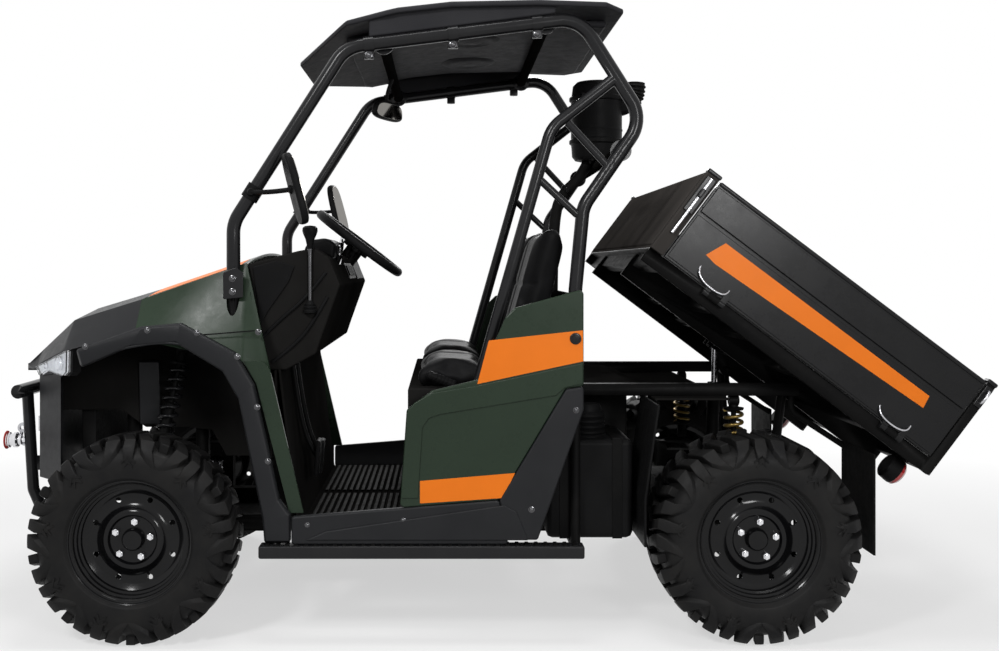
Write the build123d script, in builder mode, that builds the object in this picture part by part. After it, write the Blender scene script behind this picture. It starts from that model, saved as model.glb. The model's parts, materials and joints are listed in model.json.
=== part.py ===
# Side-by-side utility vehicle with a tipping drop-side bed, drawn with its bed raised.
# Millimetres, +Z up, front towards -X, left side towards -Y, standing on z = 0.
# Stations are distances from the middle of the wheelbase, rearwards positive.

import os
from math import asin, cos, degrees, radians, sin

from build123d import *

os.makedirs("parts", exist_ok=True)

# Overall layout
wheelbase = 1950
tyre_diameter = 650
front_tyre_width = 230
rear_tyre_width = 280
tyre_outer_y = 760
front_overhang = 525
drawn_axle_height = 325
seat_gap = 0.3
running_gap = 0.3

# Tyres and rims
front_rim_width = 178
rear_rim_width = 216
rim_flange_radius = 194
rim_seat_radius = 178
rim_wall = 6
tyre_bulge_radius = 247
tread_inset = 22
lug_height = 24
lug_root = 12
lug_count = 18
lug_width = 42
lug_slant = 20
disc_y = 690
disc_thickness = 10
hub_flange_radius = 72
hub_flange_thickness = 20
bolt_circle = 115
bolt_count = 5
bolt_across = 22
cap_radius = 34
cap_height = 26
vent_count = 10
vent_radius = 9
vent_circle_radius = 118
stub_radius = 22

# Uprights, arms and steering
front_kingpin_inset = 170
rear_upright_inset = 200
upright_half_height = 118
upright_width = 44
upright_thickness = 36
upright_ring_radius = 70
bearing_radius = 62
joint_radius = 40
joint_clearance = 8
steering_arm = 70
steering_arm_rise = 40
steering_arm_width = 24
steering_arm_thickness = 14
tie_rod_radius = 9
tie_rod_eye = 15
tie_rod_eye_height = 22
rack_housing_radius = 22
rack_housing_length = 300
arm_half_base = 120
arm_tube = 22
arm_eye_radius = 20
upper_eye_height = 24
lower_eye_height = 40
bush_radius = 17
bush_length = 44
upper_bush_height = 470
lower_bush_height = 280
front_shock_y = 425
rear_shock_y = 415
shock_bar = 24
shock_eye_radius = 18
shock_eye_length = 34
spring_radius = 34
damper_radius = 13
shaft_radius = 14
boot_radius = 36
boot_length = 50

# Chassis frame
rail_y = 240
rail_width = 50
rail_height = 50
rail_bottom = 255
cross_member = 40
post_length = 40
frame_tube = 32
frame_bend = 50
outrigger_height = 284
front_frame_top = 900
upper_rail_y = 430
upper_rail_width = 40
upper_rail_height = 40
upper_rail_drop = 17
plate_thickness = 6

# Cage
cage_tube = 44
cage_leg_tube = 38
cage_y = 610
cage_bend = 110
brace_tube = 25
cross_tube = 36
seat_rail_height = 770

# Body
panel_y = 700
panel_wall = 14
trim_wall = 20
shell_wall = 12
panel_corner = 14
trim_corner = 10
trim_bevel = 9
fender_y = 672
dash_half_width = 574
floor_height = 330
floor_wall = 8
floor_half_width = 575
roof_half_width = 640
roof_wall = 18
step_bar_width = 60
step_bar_height = 40
step_bar_bottom = 268
step_bar_y = 720
seat_base_top = 785
seat_base_wall = 12
seat_width = 500
seat_y = 310
cushion_height = 120

# Tipping bed, in its own frame: x rearwards from the pivot, z up from the pivot
bed_tilt = 37
pivot_behind_axle = 170
pivot_height = 762
bed_front = 689
bed_rear = 428
bed_floor_top = 77
bed_floor_wall = 6
bed_wall = 298
bed_half_width = 720
bed_panel = 25
bed_gap = 5
groove_depth = 4
bed_rail_y = 370
bed_rail_width = 40
bed_rail_bottom = -15
bed_cross_bottom = 30
bed_cross_width = 40
channel_width = 24
front_post_depth = 45
rear_post_depth = 29
hinge_height = 66
hinge_pin_radius = 6
hinge_ear_radius = 11
hinge_ear_width = 20
hinge_lug_width = 40
hinge_leaf = 16
pivot_pin_radius = 12
pivot_boss_radius = 28

# Lift cylinder between the chassis and the bed
lift_foot_behind = 25
lift_foot_height = 480
lift_eye_x = -185
lift_eye_z = 25
lift_barrel_radius = 23
lift_barrel_length = 250
lift_rod_radius = 10
lift_stroke = 104
lift_eye_radius = 20
lift_head_radius = 16
lift_eye_width = 40
lift_foot_pin = 10
lift_head_pin = 8
lift_head_drift = 7
lift_ear = 10

# Steering wheel
wheel_ring_radius = 180
wheel_grip_radius = 15
wheel_rake = 37
wheel_y = -330
wheel_height = 1258
wheel_behind_axle = 680

# Derived places
axle_z = drawn_axle_height
front_axle = -wheelbase / 2
rear_axle = wheelbase / 2
tilt = radians(bed_tilt)
bed_top = bed_floor_top + bed_wall
pivot_station = rear_axle + pivot_behind_axle
rear_reach = pivot_station + bed_rear * cos(tilt) + bed_top * sin(tilt)
front_reach = front_overhang - front_axle
mid_x = (front_reach - rear_reach) / 2
datum_z = tyre_diameter / 2 - drawn_axle_height
rail_outer = rail_y + rail_width / 2
rail_inner = rail_y - rail_width / 2
rail_top = rail_bottom + rail_height
rail_z = rail_bottom + rail_height / 2
rail_sides = (-rail_outer, -rail_inner)
upper_rail_bottom = pivot_height - upper_rail_drop
upper_rail_z = upper_rail_bottom + upper_rail_height / 2
kingpin_y = tyre_outer_y - front_kingpin_inset
rear_upright_y = tyre_outer_y - rear_upright_inset
arm_inner_y = rail_outer + seat_gap + bush_radius
rack_z = axle_z + steering_arm_rise + steering_arm_thickness / 2 + running_gap + tie_rod_eye_height / 2
rack_station = front_axle + steering_arm


def point(station, y, z):
    """A place given by its station, side and drawn height."""
    return (mid_x + station, y, z + datum_z)


def fore(rows):
    """Stations and heights from rows measured from the front axle."""
    return [(front_axle + behind, z) for behind, z in rows]


def aft(rows):
    """Stations and heights from rows measured from the rear axle."""
    return [(rear_axle + behind, z) for behind, z in rows]


# The side view: local x is the station, local y the height, facing out of the left side.
SIDE = Plane(origin=point(0, 0, 0), x_dir=(1, 0, 0), z_dir=(0, -1, 0))
# The bed's frame, at its pivot and tilted with it.
BED = Plane(
    origin=point(pivot_station, 0, pivot_height),
    x_dir=(cos(tilt), 0, -sin(tilt)),
    z_dir=(sin(tilt), 0, cos(tilt)),
)
ACROSS = (90, 0, 0)
LENGTHWAYS = (0, 90, 0)


def save(piece, name):
    """Labels a finished piece and writes it."""
    piece.label = name
    export_step(piece, f"parts/{name}.step")


def bent_tube(points, bend, diameter):
    """A round tube along straight runs, with every corner bent to the same radius."""
    with BuildPart() as tube:
        with BuildLine() as route:
            if len(points) > 2:
                FilletPolyline(*points, radius=bend)
            else:
                Line(*points)
        path = route.wire()
        with BuildSketch(Plane(origin=path @ 0, z_dir=path % 0)):
            Circle(diameter / 2)
        sweep(path=path)
    return tube.part


def side_tube(rows, y, bend, diameter):
    """A bent tube that lies in the side plane at y, through rows of station and height."""
    return bent_tube([point(station, y, z) for station, z in rows], bend, diameter)


def outline_face(outline, corner):
    """A flat face with an outline whose corners are rounded."""
    with BuildSketch() as flat:
        with BuildLine():
            Polyline(*outline, close=True)
        make_face()
        if corner:
            fillet(flat.vertices(), corner)
    return flat.sketch


def plate(outline, outer_y, thickness, corner=0, bevel=0):
    """A flat plate with a side-view outline, its outer face at outer_y from the middle, on the left."""
    with BuildPart() as flat:
        with BuildSketch(SIDE.offset(outer_y - thickness)):
            add(outline_face(outline, corner))
        extrude(amount=thickness)
        if bevel:
            chamfer(flat.faces().sort_by(Axis.Y)[0].edges(), bevel)
    return flat.part


def full_width(outline, half_width, corner=0):
    """A solid with a side-view outline, reaching as far to the left as to the right."""
    with BuildPart() as wide:
        with BuildSketch(SIDE):
            add(outline_face(outline, corner))
        extrude(amount=half_width, both=True)
    return wide.part


def block(stations, sides, heights):
    """A box between pairs of stations, sides and heights."""
    centre = point(sum(stations) / 2, sum(sides) / 2, sum(heights) / 2)
    with BuildPart() as box:
        with Locations(centre):
            Box(stations[1] - stations[0], sides[1] - sides[0], heights[1] - heights[0])
    return box.part


def around(middle, width):
    """A pair of limits at equal distances from a middle."""
    return (middle - width / 2, middle + width / 2)


def pair(piece):
    """A left piece together with its mirror image on the right."""
    with BuildPart() as both:
        add(piece)
        mirror(about=Plane.XZ)
    return both.part


def together(pieces):
    """Several pieces as one."""
    with BuildPart() as whole:
        for piece in pieces:
            add(piece)
    return whole.part


# Tyres and rims
def ring(centre, half):
    """A ring about the axle, from half of its section: places across and out from the axle."""
    section = [(-across, radius) for across, radius in half] + half[::-1]
    with BuildPart() as turned:
        with BuildSketch(Plane(origin=centre, x_dir=(0, 1, 0), z_dir=(1, 0, 0))):
            with BuildLine():
                Polyline(*section, close=True)
            make_face()
        revolve(axis=Axis(centre, (0, 1, 0)))
    return turned.part


def tyre_solid(centre, width, rim_width):
    """One tyre: a carcass with slanted lugs across each half of its tread, out to the lug tips."""
    bead = rim_width / 2 - running_gap
    tread = width / 2 - tread_inset
    tip = tyre_diameter / 2
    base = tip - lug_height
    carcass = ring(
        centre, [(bead, rim_seat_radius + running_gap), (width / 2, tyre_bulge_radius), (tread, base)]
    )
    slant = radians(lug_slant)
    lug_length = (tread - lug_width / 2 * sin(slant)) / cos(slant)
    reach = lug_width / 2 * cos(slant) + lug_length / 2 * sin(slant)
    lug_top = (tip**2 - reach**2) ** 0.5
    lug_foot = base - lug_root
    axle = Plane(origin=centre, x_dir=(1, 0, 0), z_dir=(0, 1, 0))
    with BuildPart() as tyre:
        add(carcass)
        for side in (-1, 1):
            turn = 90 + degrees(asin(reach / tip)) + (side + 1) * 90 / lug_count
            with Locations(axle.offset(side * tread / 2)):
                with PolarLocations((lug_top + lug_foot) / 2, lug_count, start_angle=turn):
                    Box(lug_top - lug_foot, lug_width, lug_length, rotation=(side * lug_slant, 0, 0))
    return tyre.part


def rim_solid(centre, width, rim_width, stub_end, side):
    """One steel wheel with its hub flange and stub axle; side is -1 on the left and 1 on the right."""
    seat = rim_width / 2
    rise = rim_flange_radius - rim_seat_radius
    lip = seat + rise * (width / 2 - seat) / (tyre_bulge_radius - rim_seat_radius)
    barrel = rim_seat_radius - rim_wall
    middle = abs(centre[1])
    disc = disc_y - disc_thickness - middle
    stub = stub_end - middle
    section = [
        (-lip - rim_wall, rim_flange_radius),
        (-lip, rim_flange_radius),
        (-seat, rim_seat_radius),
        (seat, rim_seat_radius),
        (lip, rim_flange_radius),
        (lip + rim_wall, rim_flange_radius),
        (seat + rim_wall, barrel),
        (disc + disc_thickness, barrel - rim_wall),
        (disc + disc_thickness, 0),
        (stub, 0),
        (stub, stub_radius),
        (disc - hub_flange_thickness, stub_radius),
        (disc - hub_flange_thickness, hub_flange_radius),
        (disc, hub_flange_radius),
        (disc, barrel),
        (-seat - rim_wall, barrel),
    ]
    section = [(side * across, radius) for across, radius in section]
    face = Plane(origin=(centre[0], side * disc_y, centre[2]), x_dir=(1, 0, 0), z_dir=(0, side, 0))
    with BuildPart() as rim:
        with BuildSketch(Plane(origin=centre, x_dir=(0, 1, 0), z_dir=(1, 0, 0))):
            with BuildLine():
                Polyline(*section, close=True)
            make_face()
        revolve(axis=Axis(centre, (0, 1, 0)))
        with BuildSketch(face):
            Circle(cap_radius)
        extrude(amount=cap_height)
        with BuildSketch(face):
            with PolarLocations(bolt_circle / 2, bolt_count, start_angle=90):
                RegularPolygon(bolt_across / 2, 6)
        extrude(amount=cap_height / 2)
        with BuildSketch(face):
            with PolarLocations(vent_circle_radius, vent_count):
                Circle(vent_radius)
        extrude(amount=-disc_thickness, mode=Mode.SUBTRACT)
    return rim.part


wheel_table = [  # name, axle station, side, tyre width, rim width, upright's side
    ("front_left", front_axle, -1, front_tyre_width, front_rim_width, kingpin_y),
    ("front_right", front_axle, 1, front_tyre_width, front_rim_width, kingpin_y),
    ("rear_left", rear_axle, -1, rear_tyre_width, rear_rim_width, rear_upright_y),
    ("rear_right", rear_axle, 1, rear_tyre_width, rear_rim_width, rear_upright_y),
]
for name, station, side, width, rim_width, upright_y in wheel_table:
    wheel_centre = point(station, side * (tyre_outer_y - width / 2), axle_z)
    stub_end = upright_y + joint_radius + 2 * running_gap
    save(tyre_solid(wheel_centre, width, rim_width), f"tyre_{name}")
    save(rim_solid(wheel_centre, width, rim_width, stub_end, side), f"rim_{name}")


# Uprights that carry the wheels
def upright_solid(station, side, ring_y, steered):
    """A ring round the drive joint with posts up and down, and a bearing for the stub axle."""
    centre = point(station, side * ring_y, axle_z)
    inner_face = Plane(origin=centre, x_dir=(1, 0, 0), z_dir=(0, side, 0)).offset(-upright_thickness / 2)
    bearing_end = disc_y - disc_thickness - hub_flange_thickness - 2 * running_gap
    depth = bearing_end - ring_y + upright_thickness / 2
    socket_depth = upright_thickness / 2 + joint_radius + running_gap
    arm_y = side * ring_y
    arm_z = axle_z + steering_arm_rise
    with BuildPart() as upright:
        with BuildSketch(inner_face):
            Circle(upright_ring_radius)
            Rectangle(upright_width, 2 * upright_half_height)
        extrude(amount=upright_thickness)
        with BuildSketch(inner_face):
            Circle(bearing_radius)
        extrude(amount=depth)
        if steered:
            with Locations(point(station + steering_arm / 2 + joint_radius / 2, arm_y, arm_z)):
                Box(steering_arm - joint_radius, steering_arm_width, steering_arm_thickness)
            with Locations(point(station + steering_arm, arm_y, arm_z)):
                Cylinder(tie_rod_eye, steering_arm_thickness)
        with BuildSketch(inner_face):
            Circle(joint_radius + joint_clearance)
        extrude(amount=socket_depth, mode=Mode.SUBTRACT)
        with BuildSketch(inner_face):
            Circle(stub_radius + running_gap)
        extrude(amount=depth, mode=Mode.SUBTRACT)
    return upright.part


for name, side in (("left", -1), ("right", 1)):
    save(upright_solid(front_axle, side, kingpin_y, True), f"knuckle_{name}")
save(pair(upright_solid(rear_axle, -1, rear_upright_y, False)), "rear_hub_carriers")


# Suspension arms
def wishbone(station, upright_y, eye_z, eye_height, leg_z, bush_z, bar_y):
    """An arm on the left: an eye at the upright, two legs to the frame and a bar for the damper."""
    ends = [point(station + way * arm_half_base, -arm_inner_y, bush_z) for way in (-1, 1)]
    legs = [bent_tube([point(station, -upright_y, leg_z), end], 0, arm_tube) for end in ends]
    share = (upright_y - bar_y) / (upright_y - arm_inner_y)
    bar_z = leg_z + share * (bush_z - leg_z)
    with BuildPart() as arm:
        for leg in legs:
            add(leg)
        with Locations(point(station, -upright_y, eye_z)):
            Cylinder(arm_eye_radius, eye_height)
        with Locations(*ends):
            Cylinder(bush_radius, bush_length, rotation=LENGTHWAYS)
        with Locations(point(station, -bar_y, bar_z)):
            Cylinder(shock_bar / 2, 2 * share * arm_half_base, rotation=LENGTHWAYS)
    return arm.part, bar_z


upper_eye_z = axle_z + upright_half_height + running_gap + upper_eye_height / 2
lower_eye_z = axle_z - upright_half_height - running_gap - lower_eye_height / 2
lower_leg_z = lower_eye_z - lower_eye_height / 2 + arm_tube / 2 + seat_gap
arm_table = [  # axle station, upright's side, damper's side
    (front_axle, kingpin_y, front_shock_y),
    (rear_axle, rear_upright_y, rear_shock_y),
]
arms = []
shock_feet = []
for station, upright_y, bar_y in arm_table:
    upper, bar_z = wishbone(
        station, upright_y, upper_eye_z, upper_eye_height, upper_eye_z, upper_bush_height, bar_y
    )
    lower, _ = wishbone(
        station, upright_y, lower_eye_z, lower_eye_height, lower_leg_z, lower_bush_height, bar_y
    )
    arms += [upper, lower]
    shock_feet.append(bar_z + shock_bar / 2 + seat_gap + shock_eye_radius)
save(pair(together(arms)), "suspension_arms")


def shock_solid(foot, head):
    """A coil-over damper: rod, spring and two eyes."""
    axis = Vector(*head) - Vector(*foot)
    along_shock = Plane(origin=foot, x_dir=(0, 1, 0), z_dir=axis)
    spring_start = 2 * shock_eye_radius
    with BuildPart() as shock:
        with BuildSketch(along_shock):
            Circle(damper_radius)
        extrude(amount=axis.length)
        with BuildSketch(along_shock.offset(spring_start)):
            Circle(spring_radius)
        extrude(amount=axis.length - 2 * spring_start)
        with Locations(foot, head):
            Cylinder(shock_eye_radius, shock_eye_length, rotation=LENGTHWAYS)
    return shock.part


front_shock_lean = 82
front_shock_head_y = 372
front_shock_foot = point(front_axle, -front_shock_y, shock_feet[0])
front_shock_head = point(front_axle + front_shock_lean, -front_shock_head_y, front_frame_top)
rear_shock_foot = point(rear_axle, -rear_shock_y, shock_feet[1])
rear_shock_head = point(rear_axle, -rear_shock_y, upper_rail_bottom - seat_gap - shock_eye_radius)
shocks = [shock_solid(front_shock_foot, front_shock_head), shock_solid(rear_shock_foot, rear_shock_head)]
save(pair(together(shocks)), "shock_absorbers")

gearbox_half_width = 120
with BuildPart() as shaft_pieces:
    for station, joint_y in ((front_axle, kingpin_y), (rear_axle, rear_upright_y)):
        start = gearbox_half_width + seat_gap
        with Locations(point(station, -joint_y, axle_z)):
            Sphere(joint_radius)
        with Locations(point(station, -(joint_y + start) / 2, axle_z)):
            Cylinder(shaft_radius, joint_y - start, rotation=ACROSS)
        with Locations(point(station, -start - boot_length / 2, axle_z)):
            Cylinder(boot_radius, boot_length, rotation=ACROSS)
save(pair(shaft_pieces.part), "drive_shafts")

with BuildPart() as steering_rack:
    with Locations(point(rack_station, 0, rack_z)):
        Cylinder(tie_rod_radius, 2 * kingpin_y, rotation=ACROSS)
    with Locations(*[point(rack_station, side * kingpin_y, rack_z) for side in (-1, 1)]):
        Cylinder(tie_rod_eye, tie_rod_eye_height)
save(steering_rack.part, "steering_rack")

# Chassis frame
frame_front = front_axle - 355
frame_rear = rear_axle + 205
rack_bar_top = rack_z - rack_housing_radius - seat_gap
rack_bar_height = 16
radiator_station = front_axle - 275
radiator_bottom = 460
lift_foot_station = rear_axle + lift_foot_behind
foot_bar_top = lift_foot_height - lift_eye_radius - bed_gap
foot_bar_height = 30
top_bar_height = 30
a_pillar_station = front_axle + 297
a_pillar_foot = 1077
front_post = [
    (front_axle + 415, outrigger_height),
    (front_axle + 390, 760),
    (a_pillar_station, 1000),
    (a_pillar_station, a_pillar_foot - seat_gap),
]
loop_front = rear_axle - 895
loop_rear = rear_axle - 557
seat_loop = [
    (loop_front, outrigger_height),
    (loop_front, seat_rail_height),
    (loop_rear, seat_rail_height),
    (loop_rear, outrigger_height),
]
outrigger_end = step_bar_y - step_bar_width - seat_gap
bush_posts = [  # axle station, top of the posts, top of the bar between them
    (front_axle, front_frame_top, front_frame_top),
    (rear_axle, upper_bush_height + bush_radius, foot_bar_top),
]
half_frame = [
    block((frame_front, frame_rear), rail_sides, (rail_bottom, rail_top)),
    block(
        (rear_axle - 545, pivot_station + 40),
        around(-upper_rail_y, upper_rail_width),
        (upper_rail_bottom, upper_rail_bottom + upper_rail_height),
    ),
    block(
        around(front_axle + front_shock_lean, 60),
        (-front_shock_head_y + shock_eye_radius + seat_gap, -rail_inner),
        (front_frame_top - top_bar_height, front_frame_top + shock_eye_radius),
    ),
    block(around(rack_station, cross_member), rail_sides, (rail_top, rack_bar_top)),
    block(around(radiator_station, top_bar_height), rail_sides, (rail_top, radiator_bottom - seat_gap)),
    side_tube(front_post, -cage_y, frame_bend, frame_tube),
    side_tube(seat_loop, -cage_y, frame_bend, frame_tube),
    bent_tube(
        [point(loop_rear, -cage_y, seat_rail_height), point(rear_axle - 540, -upper_rail_y, upper_rail_z)],
        0,
        frame_tube,
    ),
]
for axle, top, bar_top in bush_posts:
    half_frame.append(block(around(axle, 2 * arm_half_base), rail_sides, (bar_top - top_bar_height, bar_top)))
    for way in (-1, 1):
        half_frame.append(block(around(axle + way * arm_half_base, post_length), rail_sides, (rail_top, top)))
for station in (front_post[0][0], loop_front, loop_rear):
    reach = [point(station, -rail_y, outrigger_height), point(station, -outrigger_end, outrigger_height)]
    half_frame.append(bent_tube(reach, 0, frame_tube))
for station in (rear_axle - 275, rear_axle + 160):
    strut = [point(station, -rail_y, rail_z), point(station, -upper_rail_y, upper_rail_z)]
    half_frame.append(bent_tube(strut, 0, frame_tube))
engine_cross = rear_axle - 615
cross_table = [  # station, top, height
    (frame_front + cross_member / 2, rail_top, cross_member),
    (front_post[0][0], rail_top, cross_member),
    (front_axle + 715, rail_top, cross_member),
    (rear_axle - 935, rail_top, cross_member),
    (engine_cross, rail_top, cross_member),
    (rear_axle - 275, rail_top, cross_member),
    (frame_rear - cross_member / 2, rail_top, cross_member),
    (front_axle - arm_half_base, front_frame_top, cross_member),
    (front_axle + arm_half_base, front_frame_top, cross_member),
    (rack_station, rack_bar_top, rack_bar_height),
    (lift_foot_station, foot_bar_top, foot_bar_height),
]
cross_blocks = []
for station, top, height in cross_table:
    cross_blocks.append(block(around(station, cross_member), (-rail_y, rail_y), (top - height, top)))
ear_inner = lift_eye_width / 2 + bed_gap
pin_length = upper_rail_y - bed_rail_y + bed_rail_width / 2
with BuildPart() as chassis_frame:
    for piece in half_frame:
        add(piece)
    with Locations(point(pivot_station, -upper_rail_y + pin_length / 2, pivot_height)):
        Cylinder(pivot_pin_radius, pin_length, rotation=ACROSS)
    with BuildSketch(SIDE.offset(ear_inner)):
        with Locations((lift_foot_station, lift_foot_height)):
            Circle(lift_eye_radius)
        with Locations((lift_foot_station, lift_foot_height)):
            Rectangle(2 * lift_eye_radius, lift_foot_height - foot_bar_top, align=(Align.CENTER, Align.MAX))
    extrude(amount=lift_ear)
    mirror(about=Plane.XZ)
    for piece in cross_blocks:
        add(piece)
    with Locations(point(lift_foot_station, 0, lift_foot_height)):
        Cylinder(lift_foot_pin, 2 * (ear_inner + lift_ear), rotation=ACROSS)
save(chassis_frame.part, "chassis_frame")

belly = block(
    (frame_front + 100, frame_rear - 100),
    (-rail_outer, rail_outer),
    (rail_bottom - plate_thickness, rail_bottom),
)
save(belly, "belly_plate")

dash_bottom = 843
floor_rear = rear_axle - 1105
firewall = 430
toe_start = 505
floor_line = fore([(firewall, dash_bottom - seat_gap), (firewall, 450), (toe_start, floor_height)])
floor_line += [(floor_rear, floor_height), (floor_rear, floor_height - floor_wall)]
floor_line += fore(
    [
        (toe_start - floor_wall, floor_height - floor_wall),
        (firewall - floor_wall, 450),
        (firewall - floor_wall, dash_bottom - seat_gap),
    ]
)
floor_rib = block(
    (front_axle + toe_start, floor_rear), rail_sides, (rail_top + seat_gap, floor_height - floor_wall / 2)
)
save(together([full_width(floor_line, floor_half_width), pair(floor_rib)]), "floor_pan")


# Hood, nose and fenders
def station_plane(behind):
    """A cross-section plane behind the front axle: local x to the right, local y the height."""
    return Plane(origin=point(front_axle + behind, 0, 0), x_dir=(0, 1, 0), z_dir=(1, 0, 0))


def arched_section(behind, half_width, crown, shoulder):
    """A cross-section of a crowned cover: an arc from shoulder to shoulder."""
    low = shoulder - shell_wall
    with BuildSketch(station_plane(behind)) as section:
        with BuildLine():
            ThreePointArc((-half_width, shoulder), (0, crown), (half_width, shoulder))
            Line((half_width, shoulder), (half_width, low))
            ThreePointArc((half_width, low), (0, crown - shell_wall), (-half_width, low))
            Line((-half_width, low), (-half_width, shoulder))
        make_face()
    return section.sketch


def lofted(sections):
    """A shell through cross-sections, straight from one to the next."""
    with BuildPart() as shell:
        for section in sections:
            add(section)
        loft(ruled=True)
    return shell.part


hood_front = -7
hood_rear = 335
fender_table = [  # behind the front axle, top y, top z, bottom y, bottom z
    (hood_front, 572, 1072, fender_y, 950),
    (hood_rear, 588, 1190, fender_y, 880),
    (423, 670, 853, fender_y, 780),
]
hood_edges = [(top_y - shell_wall - seat_gap, top_z - 2) for _, top_y, top_z, _, _ in fender_table[:2]]
hood_table = [  # behind the front axle, half width, crown, shoulder
    (hood_front, hood_edges[0][0], 1112, hood_edges[0][1]),
    (hood_rear, hood_edges[1][0], 1228, hood_edges[1][1]),
]
nose_tip = -465
nose_half = 330
nose_table = [  # behind the front axle, crown y and z, ridge y and z, lower edge y and z
    (hood_front - seat_gap, (250, 1103), (572, 1072), (655, 969)),
    (-255, (220, 1030), (480, 1000), (585, 905)),
    (nose_tip, (150, 868), (nose_half, 840), (380, 815)),
]
save(lofted([arched_section(*row) for row in hood_table]), "hood")

fascia_front = -425
fascia_rear = -315
fascia_bottom = 452
fascia_top = 832
fascia_wall = 12
fascia_plan = [(fascia_rear, 440), (fascia_front, nose_half)]
shelf_plan = [(fascia_rear + 15, 510), (fascia_front, nose_half + 20)]
slot_heights = [672, 706, 740, 774]
slot_height = 16
slot_half = 215


def plan_outline(rows):
    """Corners in plan from rows of distance behind the front axle and side, left and then right."""
    left = [point(front_axle + behind, -y, 0)[:2] for behind, y in rows]
    right = [point(front_axle + behind, y, 0)[:2] for behind, y in rows]
    return left, right[::-1]


def nose_section(behind, crown, ridge, low):
    """A cross-section of the nose: a flat crown, sloping shoulders and steeper sides."""
    outer = [low, ridge, crown]
    inner = [
        (low[0] - shell_wall, low[1]),
        (ridge[0] - shell_wall / 2, ridge[1] - shell_wall),
        (crown[0], crown[1] - shell_wall),
    ]
    rows = [(-y, z) for y, z in outer] + outer[::-1] + inner + [(-y, z) for y, z in inner[::-1]]
    with BuildSketch(station_plane(behind)) as section:
        with BuildLine():
            Polyline(*rows, close=True)
        make_face()
    return section.sketch


left_plan, right_plan = plan_outline(fascia_plan)
left_shelf, right_shelf = plan_outline(shelf_plan)
with BuildPart() as nose_cover:
    add(lofted([nose_section(*row) for row in nose_table]))
    with BuildSketch(Plane.XY.offset(fascia_bottom + datum_z)):
        with BuildLine():
            Polyline(*left_plan, *right_plan, close=True)
        make_face()
        with BuildLine():
            Polyline(
                *[(x + fascia_wall, y + fascia_wall) for x, y in left_plan],
                *[(x + fascia_wall, y - fascia_wall) for x, y in right_plan],
                close=True,
            )
        make_face(mode=Mode.SUBTRACT)
    extrude(amount=fascia_top - fascia_bottom)
    with BuildSketch(Plane.XY.offset(fascia_top - fascia_wall + datum_z)):
        with BuildLine():
            Polyline(*left_shelf, *right_shelf, close=True)
        make_face()
    extrude(amount=fascia_wall)
    add(
        block(
            (front_axle + nose_tip, front_axle + fascia_front),
            (-nose_half, nose_half),
            (fascia_top - fascia_wall, fascia_top),
        )
    )
    add(
        block(
            (front_axle + nose_tip, front_axle + nose_tip + fascia_wall),
            (-nose_half, nose_half),
            (fascia_top - fascia_wall, fascia_top + fascia_wall),
        )
    )
    with Locations(*[point(front_axle + fascia_front, 0, height) for height in slot_heights]):
        Box(3 * fascia_wall, 2 * slot_half, slot_height, mode=Mode.SUBTRACT)
save(nose_cover.part, "nose_cover")

fender_sections = []
for behind, top_y, top_z, bottom_y, bottom_z in fender_table:
    with BuildSketch(station_plane(behind)) as strip:
        with BuildLine():
            Polyline(
                (-top_y, top_z),
                (-bottom_y, bottom_z),
                (-bottom_y + shell_wall, bottom_z),
                (-top_y + shell_wall, top_z),
                close=True,
            )
        make_face()
    fender_sections.append(strip.sketch)
fender_tail = fore([(423, 853), (529, 402), (485, 402), (381, 808), (340, 880), (400, 880)])
with BuildPart() as fender:
    add(lofted(fender_sections))
    add(plate(fender_tail, fender_y, shell_wall))
    with Locations(point(a_pillar_station, -cage_y, a_pillar_foot)):
        Cylinder(cage_tube / 2 + seat_gap, 300, mode=Mode.SUBTRACT)
save(pair(fender.part), "front_fenders")

arch_line = fore([(-181, 918), (22, 990), (147, 1001), (317, 909), (378, 807), (455, 449), (491, 402)])
arch_line += fore([(491, 312), (409, 312), (403, 386), (328, 761), (278, 849), (131, 939)])
arch_line += fore([(-9, 927), (-166, 861)])
arch_trim = plate(arch_line, panel_y, panel_y - fender_y - seat_gap, trim_corner, trim_bevel)
save(pair(arch_trim), "arch_trims")

lamp_inner = 340
lamp_base = fascia_top + seat_gap
lamp_table = [(-391, 380, 848), (-305, 490, 890)]  # behind the front axle, outer side, top
lamp_sections = []
for behind, outer, top in lamp_table:
    with BuildSketch(station_plane(behind)) as lamp_end:
        with BuildLine():
            Polyline(
                (-lamp_inner, lamp_base), (-outer, lamp_base), (-outer, top), (-lamp_inner, top), close=True
            )
        make_face()
    lamp_sections.append(lamp_end.sketch)
save(pair(lofted(lamp_sections)), "headlamps")

bull_tube = 48
bull_upright = 40
bull_top = 745
bull_half = 330
bull_x = front_axle - front_overhang + bull_tube / 2
bull_side = [(bull_x, bull_top), (bull_x + 21, 392), (bull_x + 70, rail_z), (frame_front - seat_gap, rail_z)]
with BuildPart() as bull_bar:
    add(bent_tube([point(bull_x, -bull_half, bull_top), point(bull_x, bull_half, bull_top)], 0, bull_tube))
    add(pair(side_tube(bull_side, -rail_y, frame_bend, bull_upright)))
    add(pair(block((bull_x, front_axle + fascia_front - seat_gap), around(-rail_y, 10), (460, 510))))
save(bull_bar.part, "bull_bar")

winch_radius = 36
with BuildPart() as winch:
    with Locations(point(front_axle + fascia_front - seat_gap - winch_radius, 0, 600)):
        Cylinder(winch_radius, 300, rotation=ACROSS)
save(winch.part, "winch")

# Dashboard and controls
dash_outline = fore(
    [
        (hood_rear + seat_gap, 1186), (496, 1228), (575, 1238), (645, 1206), (681, 1117),
        (612, 952), (585, 896), (460, dash_bottom), (405, dash_bottom),
    ]
)
dashboard = full_width(dash_outline, dash_half_width, panel_corner)
save(dashboard, "dashboard")

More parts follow.
